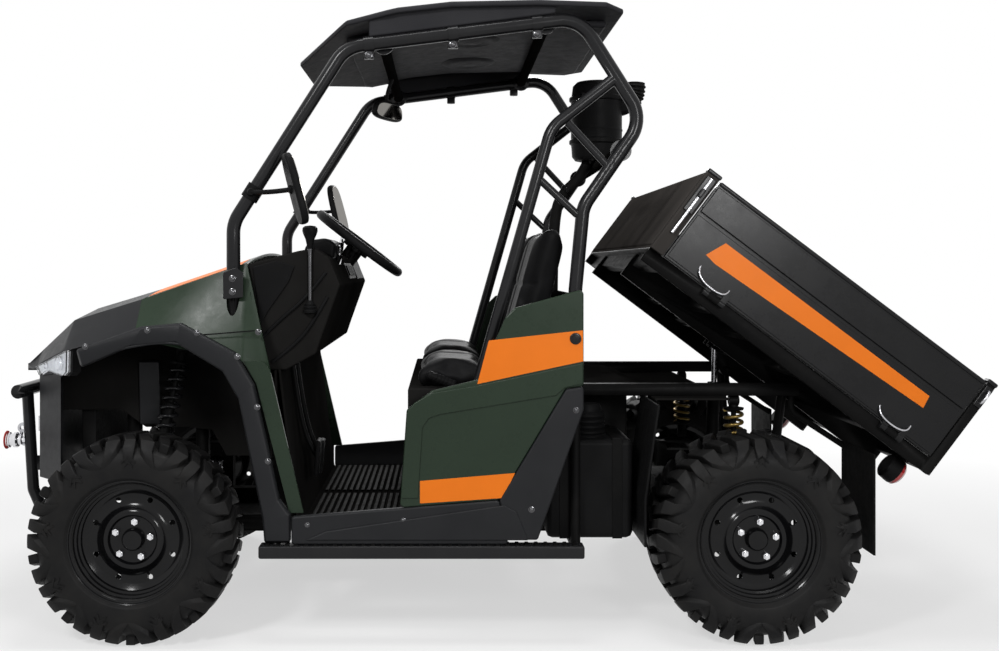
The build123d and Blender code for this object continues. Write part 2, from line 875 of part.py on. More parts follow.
wheel_normal = Vector(sin(radians(wheel_rake)), 0, cos(radians(wheel_rake)))
wheel_place = point(front_axle + wheel_behind_axle, wheel_y, wheel_height)
wheel_plane = Plane(origin=wheel_place, x_dir=(0, 1, 0), z_dir=wheel_normal)
wheel_hub_radius = 48
wheel_hub_depth = 30
spoke_width = 34
with BuildPart() as steering_wheel:
    with BuildSketch(Plane(origin=wheel_plane.origin, x_dir=wheel_plane.x_dir, z_dir=wheel_plane.y_dir)):
        with Locations((wheel_ring_radius - wheel_grip_radius, 0)):
            Circle(wheel_grip_radius)
    revolve(axis=Axis(wheel_plane.origin, wheel_normal))
    with BuildSketch(wheel_plane.offset(-wheel_hub_depth)):
        Circle(wheel_hub_radius)
    extrude(amount=wheel_hub_depth)
    with BuildSketch(wheel_plane.offset(-wheel_grip_radius)):
        with PolarLocations(wheel_ring_radius / 2, 3, start_angle=-90):
            Rectangle(wheel_ring_radius - 2 * wheel_grip_radius, spoke_width)
    extrude(amount=wheel_grip_radius)
save(steering_wheel.part, "steering_wheel")

column_radius = 30
with BuildPart() as steering_gear:
    with BuildSketch(wheel_plane.offset(-wheel_hub_depth - running_gap)):
        Circle(column_radius)
    extrude(amount=-80)
    add(dashboard, mode=Mode.SUBTRACT)
    with Locations(point(rack_station, 0, rack_z)):
        Cylinder(rack_housing_radius, rack_housing_length, rotation=ACROSS)
        Cylinder(tie_rod_radius + running_gap, rack_housing_length, rotation=ACROSS, mode=Mode.SUBTRACT)
save(steering_gear.part, "steering_gear")

lever_radius = 7
knob_radius = 20
knob_height = 56
lever_station = front_axle + 539
lever_y = -dash_half_width - seat_gap - lever_radius
with BuildPart() as gear_lever:
    add(side_tube([(lever_station, 1035), (lever_station, 1262)], lever_y, 0, 2 * lever_radius))
    with Locations(point(lever_station, lever_y, 1282)):
        Cylinder(knob_radius, knob_height)
save(gear_lever.part, "gear_lever")

# Roll cage
cage_rest = seat_rail_height + frame_tube / 2 + seat_gap
a_run = [(a_pillar_station, a_pillar_foot), (a_pillar_station, 1318), (front_axle + 657, 1881)]
a_run += aft([(-545, 1975), (-339, 1650), (-532, 1370), (-557, 1103), (-557, cage_rest)])
b_leg = aft([(-422, 1789), (-634, 1623), (-871, cage_rest + 6)])
cage_pieces = [
    side_tube(a_run, -cage_y, cage_bend, cage_tube),
    side_tube(b_leg, -cage_y, cage_bend, cage_leg_tube),
    side_tube(aft([(-582, 1640), (-459, 1507)]), -cage_y, 0, brace_tube),
    side_tube(aft([(-674, 1460), (-551, 1344)]), -cage_y, 0, brace_tube),
]
save(pair(together(cage_pieces)), "roll_cage_sides")


def along(run, share):
    """A place part of the way along a straight run of the side view."""
    (start, low), (end, high) = run
    return start + share * (end - start), low + share * (high - low)


roof_run = a_run[2:4]
cross_places = [along(roof_run, 0.16), along(roof_run, 0.86), along(a_run[4:6], 0.35), along(a_run[6:8], 0.1)]
with BuildPart() as roll_cage_cross_tubes:
    with Locations(*[point(station, 0, height) for station, height in cross_places]):
        Cylinder(cross_tube / 2, 2 * (cage_y - cage_tube / 2 - seat_gap), rotation=ACROSS)
save(roll_cage_cross_tubes.part, "roll_cage_cross_tubes")

roof_front = front_axle + 461
roof_rear = rear_axle - 393
roof_span = roof_rear - roof_front
roof_shares = [(0, 1905), (0.168, 1962), (0.332, 2003), (0.487, 2022), (0.743, 2028), (1, 2018)]
roof_line = [(roof_front + share * roof_span, z) for share, z in roof_shares]
roof_outline = roof_line + [(station, z - roof_wall) for station, z in roof_line[::-1]]
roof_plan = [  # share of the roof's length, half width
    (0, 0.34 * roof_half_width), (0.18, 0.97 * roof_half_width), (0.3, roof_half_width),
    (0.94, roof_half_width), (1, 0.86 * roof_half_width),
]


def on_roof(station):
    """The middle of the roof's wall at a station."""
    for (start, low), (end, high) in zip(roof_line, roof_line[1:]):
        if start <= station <= end:
            return low + (high - low) * (station - start) / (end - start) - roof_wall / 2


rail_start = along(roof_run, 0.1)
rail_end = along(roof_run, 0.9)
rail_lift = cage_tube / 2 * 1.01 + seat_gap
foot_width = 20
foot_stations = [rail_start[0]] + [s for s, _ in roof_line if rail_start[0] < s < rail_end[0]] + [rail_end[0]]
roof_foot = [(rail_start[0], rail_start[1] + rail_lift), (rail_end[0], rail_end[1] + rail_lift)]
roof_foot += [(station, on_roof(station)) for station in foot_stations[::-1]]
left_roof = [point(roof_front + share * roof_span, -half, 0)[:2] for share, half in roof_plan]
right_roof = [point(roof_front + share * roof_span, half, 0)[:2] for share, half in roof_plan]
with BuildPart() as roof_skin:
    add(full_width(roof_outline, roof_half_width))
    with BuildSketch(Plane.XY):
        with BuildLine():
            Polyline(*left_roof, *right_roof[::-1], close=True)
        make_face()
    extrude(amount=4 * a_pillar_foot, mode=Mode.INTERSECT)
roof_pieces = [roof_skin.part, pair(plate(roof_foot, cage_y + foot_width / 2, foot_width))]
save(together(roof_pieces), "roof_panel")

mirror_station = front_axle + 513
mirror_height = 1415
mirror_arm_radius = 8
mirror_arm_y = cage_y + cage_tube / 2 + seat_gap + mirror_arm_radius
mirror_arm = [
    point(front_axle + 359, -mirror_arm_y, mirror_height),
    point(mirror_station, -690, mirror_height),
]
side_mirror = [
    bent_tube(mirror_arm, 0, 2 * mirror_arm_radius),
    block(around(mirror_station, 24), (-750, -640), (1310, 1540)),
]
cabin_station, cabin_top = cross_places[0]
cabin_mirror = [
    block(around(cabin_station, 20), (-12, 12), (1770, cabin_top - cross_tube / 2 - seat_gap)),
    block(around(cabin_station, 20), (-110, 110), (1730, 1795)),
]
save(together([pair(together(side_mirror))] + cabin_mirror), "mirrors")

# Seats
seat_base_half = cage_y - frame_tube / 2 - 9
base_sides = (-seat_base_half, seat_base_half)
base_front = rear_axle - 1095
base_rear = rear_axle - 785
shelf_rear = rear_axle - 675
shelf_wall = 15
cushion_rear = rear_axle - 810
with BuildPart() as seat_base:
    add(block((base_front, base_rear), base_sides, (rail_top + seat_gap, seat_base_top)))
    add(block((base_rear, shelf_rear), base_sides, (seat_base_top - shelf_wall, seat_base_top)))
    add(
        block(
            (base_front + seat_base_wall, base_rear - seat_base_wall),
            (-seat_base_half + seat_base_wall, seat_base_half - seat_base_wall),
            (rail_top, seat_base_top - seat_base_wall),
        ),
        mode=Mode.SUBTRACT,
    )
save(seat_base.part, "seat_base")

cushion_bottom = seat_base_top + seat_gap
cushion = block(
    (base_front + 10, cushion_rear),
    around(-seat_y, seat_width),
    (cushion_bottom, cushion_bottom + cushion_height),
)
save(pair(cushion), "seat_cushions")
back_outline = aft([(-806, cushion_bottom), (-705, cushion_bottom), (-578, 1290), (-670, 1300)])
save(pair(plate(back_outline, seat_y + seat_width / 2 - 10, seat_width - 20)), "seat_backs")

# Side panels, trims, sills and step bars
step_top = step_bar_bottom + step_bar_height
sill_front = front_axle + 495
sill_rear = rear_axle - 805
sill_run = [(sill_front, 396), (sill_rear, 448)]
panel_front = rear_axle - 1116
panel_foot = along(sill_run, (panel_front - sill_front) / (sill_rear - sill_front))
side_outline = aft([(-541, 1108), (-756, 1049), (-785, 1020), (-872, 824), (-1015, 790), (-1095, 730)])
side_outline += [(panel_front, panel_foot[1] + seat_gap), (sill_rear, sill_run[1][1] + seat_gap)]
side_outline += aft([(-597, 796), (-541, 804)])
save(pair(plate(side_outline, panel_y, panel_wall, panel_corner, panel_wall / 4)), "side_panels")

trim_outline = aft([(-596.5, 795.5), (-541, 803.5), (-541, 730), (-685, 324), (-775, 324), (-804.5, 447.5)])
save(pair(plate(trim_outline, panel_y + 6, trim_wall, trim_corner, trim_bevel / 2)), "rear_trims")

sill_outline = sill_run + [(rear_axle - 776, step_top + seat_gap), (sill_front, step_top + seat_gap)]
save(pair(plate(sill_outline, panel_y + 4, trim_wall, trim_corner, trim_bevel / 2)), "sills")

step_bar = block(
    (front_axle + 394, rear_axle - 540),
    (-step_bar_y, -step_bar_y + step_bar_width),
    (step_bar_bottom, step_top),
)
save(pair(step_bar), "step_bars")

# Power train
engine_foot = block(around(engine_cross, cross_member), (-190, -150), (rail_top + seat_gap, 360))
engine_top = pivot_height - 27
engine_block = block((rear_axle - 745, rear_axle - 325), (-200, 200), (350, engine_top))
save(together([engine_block, pair(engine_foot)]), "engine")

cover_top = pivot_height + bed_cross_bottom - 2 * bed_gap
cover_base = engine_top + seat_gap
cover_outline = aft(
    [
        (-535, cover_base), (-535, cover_top - 14), (-480, cover_top),
        (-345, cover_top), (-290, cover_top - 14), (-290, cover_base),
    ]
)
save(full_width(cover_outline, bed_rail_y - bed_rail_width, trim_corner), "engine_cover")

gear_table = [  # stations, heights, stations of the mounting ears
    ((rear_axle - 210, rear_axle + 90), (270, 410), (rear_axle - 190, rear_axle - 140)),
    ((front_axle - 70, front_axle + 45), (270, 375), (front_axle - 70, front_axle - 45)),
]
gear_pieces = []
for stations, heights, ear_stations in gear_table:
    gear_pieces.append(block(stations, (-gearbox_half_width, gearbox_half_width), heights))
    gear_pieces.append(pair(block(ear_stations, (-rail_inner + seat_gap, -gearbox_half_width), (280, 300))))
save(together(gear_pieces), "axle_gearboxes")

tank_bottom = outrigger_height + frame_tube / 2 + seat_gap
tank_outer = cage_y - frame_tube / 2 - 4
save(block((rear_axle - 648, rear_axle - 368), (-tank_outer, -280), (tank_bottom, 621)), "fuel_tank")

guard_wall = 8
guard_front = rear_axle - 352
guard_lean = 42
guard_top = upper_rail_bottom - seat_gap
guard_line = [(guard_front, tank_bottom), (guard_front, 450), (guard_front + guard_lean, guard_top)]
guard_outline = guard_line + [(station + guard_wall, z) for station, z in guard_line[::-1]]
guard_inner = upper_rail_y - upper_rail_width
save(pair(plate(guard_outline, panel_y, panel_y - guard_inner)), "rear_guards")

cleaner_radius = 100
cleaner_height = 300
cleaner_station, cleaner_rest = cross_places[2]
with BuildPart() as air_cleaner:
    with Locations(point(cleaner_station, 0, cleaner_rest + cross_tube / 2 + seat_gap)):
        Cylinder(cleaner_radius, cleaner_height, align=(Align.CENTER, Align.CENTER, Align.MIN))
save(air_cleaner.part, "air_cleaner")

flap_station = rear_axle + 365
flap_top = pivot_height - 172
flap_hanger = [
    (pivot_station + 20, upper_rail_bottom - seat_gap),
    (pivot_station + 20, flap_top + 100),
    (flap_station + plate_thickness / 2, flap_top - 15),
]
flap_pieces = [
    block((flap_station, flap_station + plate_thickness), (-panel_y, -415), (275, flap_top)),
    side_tube(flap_hanger, -upper_rail_y, 40, 20),
]
save(pair(together(flap_pieces)), "mud_flaps")

radiator_depth = 50
radiator = block(around(radiator_station, radiator_depth), (-rail_outer, rail_outer), (radiator_bottom, 800))
save(radiator, "radiator")

muffler_radius = 70
muffler_length = 420
muffler_station = frame_rear + muffler_radius + 10
muffler_height = 470
muffler_strap = block(
    (frame_rear + seat_gap, muffler_station), (-130, -110), (rail_bottom + 10, muffler_height)
)
with BuildPart() as muffler:
    with Locations(point(muffler_station, 0, muffler_height)):
        Cylinder(muffler_radius, muffler_length, rotation=ACROSS)
    add(pair(muffler_strap))
save(muffler.part, "muffler")

hitch_hole_radius = 10.5
hitch_length = 230
hitch_thickness = 16
hitch_start = frame_rear + seat_gap
with BuildPart() as tow_hitch:
    add(block((hitch_start, hitch_start + hitch_length), (-40, 40), around(rail_z, hitch_thickness)))
    with Locations(point(hitch_start + hitch_length - 30, 0, rail_z)):
        Cylinder(hitch_hole_radius, hitch_thickness, mode=Mode.SUBTRACT)
save(tow_hitch.part, "tow_hitch")


# Tipping bed, drawn in the bed's own frame
def bed_box(along_bed, sides, heights):
    """A box in the bed's frame, between pairs of places along, across and up."""
    with BuildPart(BED) as box:
        with Locations((sum(along_bed) / 2, sum(sides) / 2, sum(heights) / 2)):
            Box(along_bed[1] - along_bed[0], abs(sides[1] - sides[0]), heights[1] - heights[0])
    return box.part


def bed_rod(centre, radius, length, turn):
    """A round bar in the bed's frame, turned to lie across or along the bed."""
    with BuildPart(BED) as rod:
        with Locations(centre):
            Cylinder(radius, length, rotation=turn)
    return rod.part


gate_inner = bed_rear - bed_panel
tray_rear = gate_inner - 3
tray_under = bed_floor_top - bed_floor_wall
side_inner = bed_half_width - bed_panel
panel_low = bed_floor_top + 3
panel_high = bed_top - 8
side_front = -bed_front + front_post_depth + bed_gap
side_rear = bed_rear - rear_post_depth - bed_gap
tray_half = side_inner + bed_gap
post_inner = side_inner - bed_gap
side_ears = [-440, 250]
gate_ears = [-450, 450]
lug_heights = around(hinge_height, hinge_leaf)
bed_pieces = [bed_box((-bed_front, tray_rear), (-tray_half, tray_half), (tray_under, bed_floor_top))]
for side in (-1, 1):
    bed_pieces += [
        bed_box(
            (-bed_front + 20, tray_rear),
            around(side * bed_rail_y, bed_rail_width),
            (bed_rail_bottom, tray_under),
        ),
        bed_box(
            (-bed_front, tray_rear),
            (side * (tray_half - channel_width), side * tray_half),
            (bed_cross_bottom, tray_under),
        ),
        bed_rod((0, side * bed_rail_y, 0), pivot_boss_radius, bed_rail_width, ACROSS),
        bed_box(around(lift_eye_x, 56), (side * ear_inner, side * (ear_inner + lift_ear)), (0, tray_under)),
        bed_box(
            (bed_rear - rear_post_depth, bed_rear),
            (side * post_inner, side * bed_half_width),
            (bed_cross_bottom, bed_top),
        ),
    ]
    for x in side_ears:
        lug_sides = (side * (tray_half - channel_width), side * bed_half_width)
        bed_pieces.append(bed_box(around(x, hinge_lug_width), lug_sides, lug_heights))
        hinge_place = (x, side * bed_half_width, hinge_height)
        bed_pieces.append(bed_rod(hinge_place, hinge_ear_radius, hinge_lug_width, LENGTHWAYS))
for x in (-640, -420, -280, -90, 180, tray_rear - bed_cross_width / 2):
    member = bed_box(around(x, bed_cross_width), (-tray_half, tray_half), (bed_cross_bottom, tray_under))
    bed_pieces.append(member)
for y in gate_ears:
    bed_pieces.append(bed_box((tray_rear - 20, bed_rear), around(y, hinge_lug_width), lug_heights))
    bed_pieces.append(bed_rod((bed_rear, y, hinge_height), hinge_ear_radius, hinge_lug_width, ACROSS))
bed_cuts = []
for side in (-1, 1):
    pivot_hole = bed_rod((0, side * bed_rail_y, 0), pivot_pin_radius + running_gap, bed_rail_width, ACROSS)
    bed_cuts.append(pivot_hole)
    for x in side_ears:
        hinge_place = (x, side * bed_half_width, hinge_height)
        bed_cuts.append(bed_rod(hinge_place, hinge_pin_radius + running_gap, hinge_lug_width, LENGTHWAYS))
for y in gate_ears:
    gate_hole = bed_rod((bed_rear, y, hinge_height), hinge_pin_radius + running_gap, hinge_lug_width, ACROSS)
    bed_cuts.append(gate_hole)
lift_slot = lift_head_pin + lift_head_drift
bed_cuts.append(bed_rod((lift_eye_x, 0, lift_eye_z), lift_slot, 2 * (ear_inner + lift_ear), ACROSS))
with BuildPart() as bed_floor:
    for piece in bed_pieces:
        add(piece)
    for cut in bed_cuts:
        add(cut, mode=Mode.SUBTRACT)
save(bed_floor.part, "bed_floor")

head_heights = (bed_floor_top + seat_gap, bed_top)
headboard_pieces = [
    bed_box((-bed_front, -bed_front + bed_panel), (-bed_half_width, bed_half_width), head_heights)
]
for side in (-1, 1):
    post_sides = (side * side_inner, side * bed_half_width)
    headboard_pieces.append(bed_box((-bed_front, -bed_front + front_post_depth), post_sides, head_heights))
save(together(headboard_pieces), "bed_headboard")


def hinge_ears(place, turn, step):
    """Two ears and a pin round one lug, and the ears' middles; step is the direction of the hinge line."""
    spread = hinge_lug_width / 2 + running_gap + hinge_ear_width / 2
    ends = [tuple(p + way * spread * s for p, s in zip(place, step)) for way in (-1, 1)]
    pieces = [bed_rod(end, hinge_ear_radius, hinge_ear_width, turn) for end in ends]
    pieces.append(bed_rod(place, hinge_pin_radius, 2 * spread + hinge_ear_width, turn))
    return pieces, ends


gate_half = post_inner - bed_gap
leaf_top = panel_low + 20
groove_rows = [(panel_high - 112, panel_high - 94), (panel_high - 34, panel_high - 26)]
gate_pieces = [bed_box((gate_inner, bed_rear), (-gate_half, gate_half), (panel_low, panel_high))]
for y in gate_ears:
    ears, ends = hinge_ears((bed_rear, y, hinge_height), ACROSS, (0, 1, 0))
    gate_pieces += ears
    for x, end_y, z in ends:
        gate_pieces.append(bed_box(around(x, hinge_leaf), around(end_y, hinge_ear_width), (z, leaf_top)))
gate_face = (bed_rear - groove_depth, bed_rear)
gate_grooves = [bed_box(gate_face, (-gate_half, gate_half), row) for row in groove_rows]
with BuildPart() as tailgate:
    for piece in gate_pieces:
        add(piece)
    for groove in gate_grooves:
        add(groove, mode=Mode.SUBTRACT)
save(tailgate.part, "tailgate")

for name, side in (("left", -1), ("right", 1)):
    side_pieces = [
        bed_box((side_front, side_rear), (side * side_inner, side * bed_half_width), (panel_low, panel_high))
    ]
    for x in side_ears:
        ears, ends = hinge_ears((x, side * bed_half_width, hinge_height), LENGTHWAYS, (1, 0, 0))
        side_pieces += ears
        for end_x, y, z in ends:
            side_pieces.append(bed_box(around(end_x, hinge_ear_width), around(y, hinge_leaf), (z, leaf_top)))
    groove_sides = (side * (bed_half_width - groove_depth), side * bed_half_width)
    side_grooves = [bed_box((side_front, side_rear), groove_sides, row) for row in groove_rows]
    with BuildPart() as bed_side:
        for piece in side_pieces:
            add(piece)
        for groove in side_grooves:
            add(groove, mode=Mode.SUBTRACT)
    save(bed_side.part, f"bed_side_{name}")

lamp_radius = 42
lamp_length = 50
lamp_x = 375
lamp_y = 600
lamp_z = bed_cross_bottom - seat_gap - lamp_radius
lamps = [bed_rod((lamp_x, side * lamp_y, lamp_z), lamp_radius, lamp_length, LENGTHWAYS) for side in (-1, 1)]
save(together(lamps), "tail_lamps")

# Lift cylinder
lift_foot = Vector(*point(lift_foot_station, 0, lift_foot_height))
lift_eye = BED.from_local_coords(Vector(lift_eye_x, 0, lift_eye_z))
lift_axis = lift_eye - lift_foot
lift_plane = Plane(origin=lift_foot, x_dir=(0, 1, 0), z_dir=lift_axis)
barrel_start = lift_foot_pin + bed_gap
bore_start = barrel_start + 25
rod_start = bore_start + lift_stroke + bed_gap
with BuildPart() as lift_barrel:
    with BuildSketch(lift_plane.offset(barrel_start)):
        Circle(lift_barrel_radius)
    extrude(amount=lift_barrel_length)
    with Locations(lift_foot):
        Cylinder(lift_eye_radius, lift_eye_width, rotation=ACROSS)
        Cylinder(lift_foot_pin + running_gap, lift_eye_width + 10, rotation=ACROSS, mode=Mode.SUBTRACT)
    with BuildSketch(lift_plane.offset(bore_start)):
        Circle(lift_rod_radius + running_gap)
    extrude(amount=lift_barrel_length, mode=Mode.SUBTRACT)
save(lift_barrel.part, "lift_barrel")

with BuildPart() as lift_rod:
    with BuildSketch(lift_plane.offset(rod_start)):
        Circle(lift_rod_radius)
    extrude(amount=lift_axis.length - rod_start)
    with Locations(lift_eye):
        Cylinder(lift_head_radius, lift_eye_width, rotation=ACROSS)
        Cylinder(lift_head_pin, 2 * (ear_inner + lift_ear), rotation=ACROSS)
save(lift_rod.part, "lift_rod")
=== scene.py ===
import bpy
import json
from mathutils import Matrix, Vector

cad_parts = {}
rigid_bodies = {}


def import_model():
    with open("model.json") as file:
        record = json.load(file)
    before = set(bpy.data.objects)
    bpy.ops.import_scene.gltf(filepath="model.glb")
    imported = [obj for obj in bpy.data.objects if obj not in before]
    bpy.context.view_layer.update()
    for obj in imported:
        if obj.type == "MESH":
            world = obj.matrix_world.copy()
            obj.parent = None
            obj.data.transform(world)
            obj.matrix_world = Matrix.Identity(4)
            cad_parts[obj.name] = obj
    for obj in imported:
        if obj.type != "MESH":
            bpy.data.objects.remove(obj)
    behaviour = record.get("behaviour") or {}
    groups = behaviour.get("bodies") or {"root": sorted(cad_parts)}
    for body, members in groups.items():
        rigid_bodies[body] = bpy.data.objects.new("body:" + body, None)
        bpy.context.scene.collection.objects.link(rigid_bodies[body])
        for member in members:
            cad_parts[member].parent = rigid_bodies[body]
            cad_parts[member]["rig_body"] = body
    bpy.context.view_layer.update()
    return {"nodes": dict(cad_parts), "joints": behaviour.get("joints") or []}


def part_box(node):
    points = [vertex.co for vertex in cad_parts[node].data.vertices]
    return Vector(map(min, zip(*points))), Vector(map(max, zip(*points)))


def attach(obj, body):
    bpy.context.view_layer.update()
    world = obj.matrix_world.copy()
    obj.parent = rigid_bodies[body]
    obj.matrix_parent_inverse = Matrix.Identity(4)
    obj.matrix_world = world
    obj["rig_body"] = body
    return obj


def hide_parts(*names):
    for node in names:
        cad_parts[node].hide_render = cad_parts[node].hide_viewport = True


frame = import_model()

import json
from math import cos, exp, pi, radians, sin, tau

import bpy
from mathutils import Matrix, Vector

bl_info = {
    "name": "Tipping-bed utility vehicle",
    "version": (1, 0, 0),
    "blender": (4, 5, 0),
    "location": "View3D > Sidebar > Vehicle",
    "description": "Dresses the packed vehicle frame with tyres, rims, seats, springs, fittings and paint",
    "category": "Object",
}

JOINTS = {joint["name"]: joint for joint in frame["joints"]}
FRONT_HUB = Vector(JOINTS["wheel_front_left_spin"]["pos_m"])
REAR_HUB = Vector(JOINTS["wheel_rear_left_spin"]["pos_m"])
BED_PIVOT = Vector(JOINTS["bed_tip"]["pos_m"])
MIDDLE = (FRONT_HUB.x + REAR_HUB.x) / 2
BED_TILT = radians(37)
MM = 0.001
MERGE_GAP = 1e-5
MIRROR = Matrix.Scale(-1, 4, (0, 1, 0))


def at(station, y, z):
    """A place in metres from millimetres behind the wheelbase's middle, to the right and up."""
    return Vector((MIDDLE + station * MM, y * MM, z * MM))


def mm(*values):
    """A place in metres from one in millimetres."""
    return Vector(values) * MM


# Finishes
SPECULAR = "Specular IOR Level"
METALLIC = "Metallic"
GRAIN_DEPTH = 0.001
GREEN_SHADE = 0.88
ORANGE_SHADE = 0.94
# Each row is a material's name, its two colours, the range of its roughness, the scale of its patches and
# sockets of its shader; a grained one adds the grain's strength and scale, and True where it is pores.
FINISHES = {
    "trim": ("grained_grey_plastic", (0.012, 0.0125, 0.014), (0.016, 0.0165, 0.018), (0.34, 0.46), 7,
             {SPECULAR: 0.14}, 0.2, 700, True),
    "cab": ("grained_black_plastic", (0.006, 0.006, 0.0062), (0.009, 0.009, 0.0093), (0.36, 0.5), 7,
            {SPECULAR: 0.04}, 0.2, 620, True),
    "liner": ("matte_black_liner", (0.012, 0.0115, 0.011), (0.017, 0.0165, 0.016), (0.7, 0.9), 6,
              {SPECULAR: 0.0}, 0.2, 300, True),
    "roof": ("grained_roof_plastic", (0.03, 0.03, 0.033), (0.038, 0.038, 0.041), (0.5, 0.66), 6,
             {SPECULAR: 0.03}, 0.2, 300, True),
    "cage": ("satin_black_tube", (0.01, 0.01, 0.011), (0.014, 0.014, 0.015), (0.18, 0.25), 9,
             {SPECULAR: 0.18}),
    "frame": ("powder_coated_frame", (0.004, 0.004, 0.0042), (0.007, 0.0068, 0.0066), (0.4, 0.58), 8,
              {SPECULAR: 0.05}, 0.1, 700),
    "bed": ("black_gloss_bed", (0.005, 0.005, 0.0055), (0.008, 0.008, 0.0085), (0.24, 0.32), 4,
            {SPECULAR: 0.18}),
    # The board's brown-grey is painted sheen: a matte colour with no gloss that stands in for the reflection
    # on the bed's black headboard.
    "board": ("board_grey_painted_sheen", (0.036, 0.033, 0.031), (0.046, 0.042, 0.039), (0.6, 0.8), 5,
              {SPECULAR: 0.0}, 0.05, 240),
    "rim": ("black_gloss_rim", (0.003, 0.003, 0.0034), (0.005, 0.005, 0.0055), (0.1, 0.17), 12,
            {SPECULAR: 0.2}),
    "tyre": ("tyre_rubber", (0.008, 0.008, 0.0084), (0.014, 0.0136, 0.0132), (0.42, 0.6), 14,
             {SPECULAR: 0.1}, 0.2, 520),
    "rubber": ("flap_rubber", (0.005, 0.005, 0.005), (0.009, 0.0088, 0.0085), (0.55, 0.75), 10,
               {SPECULAR: 0.06}, 0.2, 480),
    "vinyl": ("black_seat_vinyl", (0.008, 0.008, 0.0085), (0.012, 0.012, 0.0125), (0.4, 0.52), 10,
              {SPECULAR: 0.05}, 0.3, 420, True),
    "dark_steel": ("dark_steel", (0.1, 0.1, 0.104), (0.07, 0.07, 0.073), (0.16, 0.28), 30, {METALLIC: 1.0}),
    "steel": ("bright_steel", (0.55, 0.55, 0.57), (0.4, 0.4, 0.42), (0.16, 0.32), 30,
              {METALLIC: 1.0}, 0.05, 900),
    "chrome": ("chromed_nut", (0.78, 0.78, 0.8), (0.66, 0.66, 0.68), (0.06, 0.16), 40, {METALLIC: 1.0}),
    "alloy": ("cast_alloy", (0.5, 0.5, 0.52), (0.36, 0.36, 0.37), (0.28, 0.45), 25,
              {METALLIC: 1.0}, 0.25, 500),
    "iron": ("painted_cast_iron", (0.008, 0.008, 0.0084), (0.013, 0.0127, 0.0124), (0.5, 0.7), 12,
             {SPECULAR: 0.08}, 0.3, 350),
    # The gold is darkened with painted shade, for the shadow on the rear springs under the bed.
    "gold": ("gold_spring_painted_shade", (0.3, 0.21, 0.06), (0.2, 0.13, 0.035), (0.25, 0.4), 20,
             {METALLIC: 0.7}, 0.05, 500),
    # The reflector's pale, only partly metallic colour is a painted reflection: it stays bright whatever the
    # chrome would mirror.
    "lamp_silver": ("faceted_lamp_silver_painted_reflection", (0.8, 0.81, 0.83), (0.62, 0.63, 0.65), (0.14, 0.26), 60,
                    {METALLIC: 0.55}, 0.7, 95, True),
    "lens": ("clear_lens", (0.92, 0.94, 0.96), (0.88, 0.9, 0.93), (0.02, 0.06), 20,
             {"Transmission Weight": 1.0, "IOR": 1.45}),
    "red_lens": ("red_lens", (0.4, 0.006, 0.006), (0.3, 0.004, 0.004), (0.06, 0.14), 20,
                 {"Coat Weight": 0.6}, 0.2, 420, True),
    "mirror": ("mirror_glass", (0.2, 0.19, 0.175), (0.17, 0.162, 0.15), (0.02, 0.05), 20, {METALLIC: 1.0}),
    "red_strap": ("red_webbing", (0.45, 0.02, 0.015), (0.36, 0.015, 0.012), (0.6, 0.75), 20, {}, 0.5, 600),
}


def blank_finish(name):
    """A new material with its shader and its object coordinates."""
    finish = bpy.data.materials.new(name)
    finish.use_nodes = True
    nodes = finish.node_tree.nodes
    shader = nodes["Principled BSDF"]
    place = nodes.new("ShaderNodeTexCoord")
    return finish, nodes, finish.node_tree.links, shader, place


def noise_node(nodes, links, place, scale, detail=4.0, roughness=0.55):
    """A cloud of noise on the object's own coordinates."""
    noise = nodes.new("ShaderNodeTexNoise")
    noise.inputs["Scale"].default_value = scale
    noise.inputs["Detail"].default_value = detail
    noise.inputs["Roughness"].default_value = roughness
    links.new(place.outputs["Object"], noise.inputs["Vector"])
    return noise


def range_node(nodes, links, source, low, high, start=0.3, end=0.7):
    """A value spread from one range to another."""
    spread = nodes.new("ShaderNodeMapRange")
    spread.inputs["From Min"].default_value = start
    spread.inputs["From Max"].default_value = end
    spread.inputs["To Min"].default_value = low
    spread.inputs["To Max"].default_value = high
    links.new(source, spread.inputs["Value"])
    return spread.outputs["Result"]


def two_tone(nodes, links, factor, first, second):
    """A colour between two others, by a factor."""
    mix = nodes.new("ShaderNodeMix")
    mix.data_type = "RGBA"
    mix.inputs[6].default_value = (*first, 1)
    mix.inputs[7].default_value = (*second, 1)
    links.new(factor, mix.inputs[0])
    return mix.outputs[2]


def surface_finish(name, colour, second, rough, patch, sockets, grain=0.0, scale=0.0, pores=False):
    """A finish with drifting colour and uneven gloss, and a fine grain where it has one."""
    finish, nodes, links, shader, place = blank_finish(name)
    clouds = noise_node(nodes, links, place, patch)
    tone = range_node(nodes, links, clouds.outputs["Fac"], 0, 1)
    links.new(two_tone(nodes, links, tone, colour, second), shader.inputs["Base Color"])
    smears = noise_node(nodes, links, place, patch * 5, 6.0, 0.65)
    links.new(range_node(nodes, links, smears.outputs["Fac"], *rough), shader.inputs["Roughness"])
    for socket, value in sockets.items():
        shader.inputs[socket].default_value = value
    if grain:
        if pores:
            cells = nodes.new("ShaderNodeTexVoronoi")
            cells.inputs["Scale"].default_value = scale
            links.new(place.outputs["Object"], cells.inputs["Vector"])
            height = cells.outputs["Distance"]
        else:
            height = noise_node(nodes, links, place, scale, 3.0).outputs["Fac"]
        bump = nodes.new("ShaderNodeBump")
        bump.inputs["Strength"].default_value = grain
        bump.inputs["Distance"].default_value = GRAIN_DEPTH
        links.new(height, bump.inputs["Height"])
        links.new(bump.outputs["Normal"], shader.inputs["Normal"])
    return finish


def make_finishes(paint):
    """Every finish of the vehicle, by its plain name."""
    green, orange = tuple(paint.body_green), tuple(paint.stripe_orange)
    dull_green = tuple(c * GREEN_SHADE for c in green)
    dull_orange = tuple(c * ORANGE_SHADE for c in orange)
    painted = {
        "green": ("green_gloss_panel", green, dull_green, (0.24, 0.34), 5, {SPECULAR: 0.16}),
        "orange": ("orange_stripe", orange, dull_orange, (0.34, 0.44), 8, {SPECULAR: 0.15}),
    }
    return {key: surface_finish(*look) for key, look in {**painted, **FINISHES}.items()}


finishes = {}


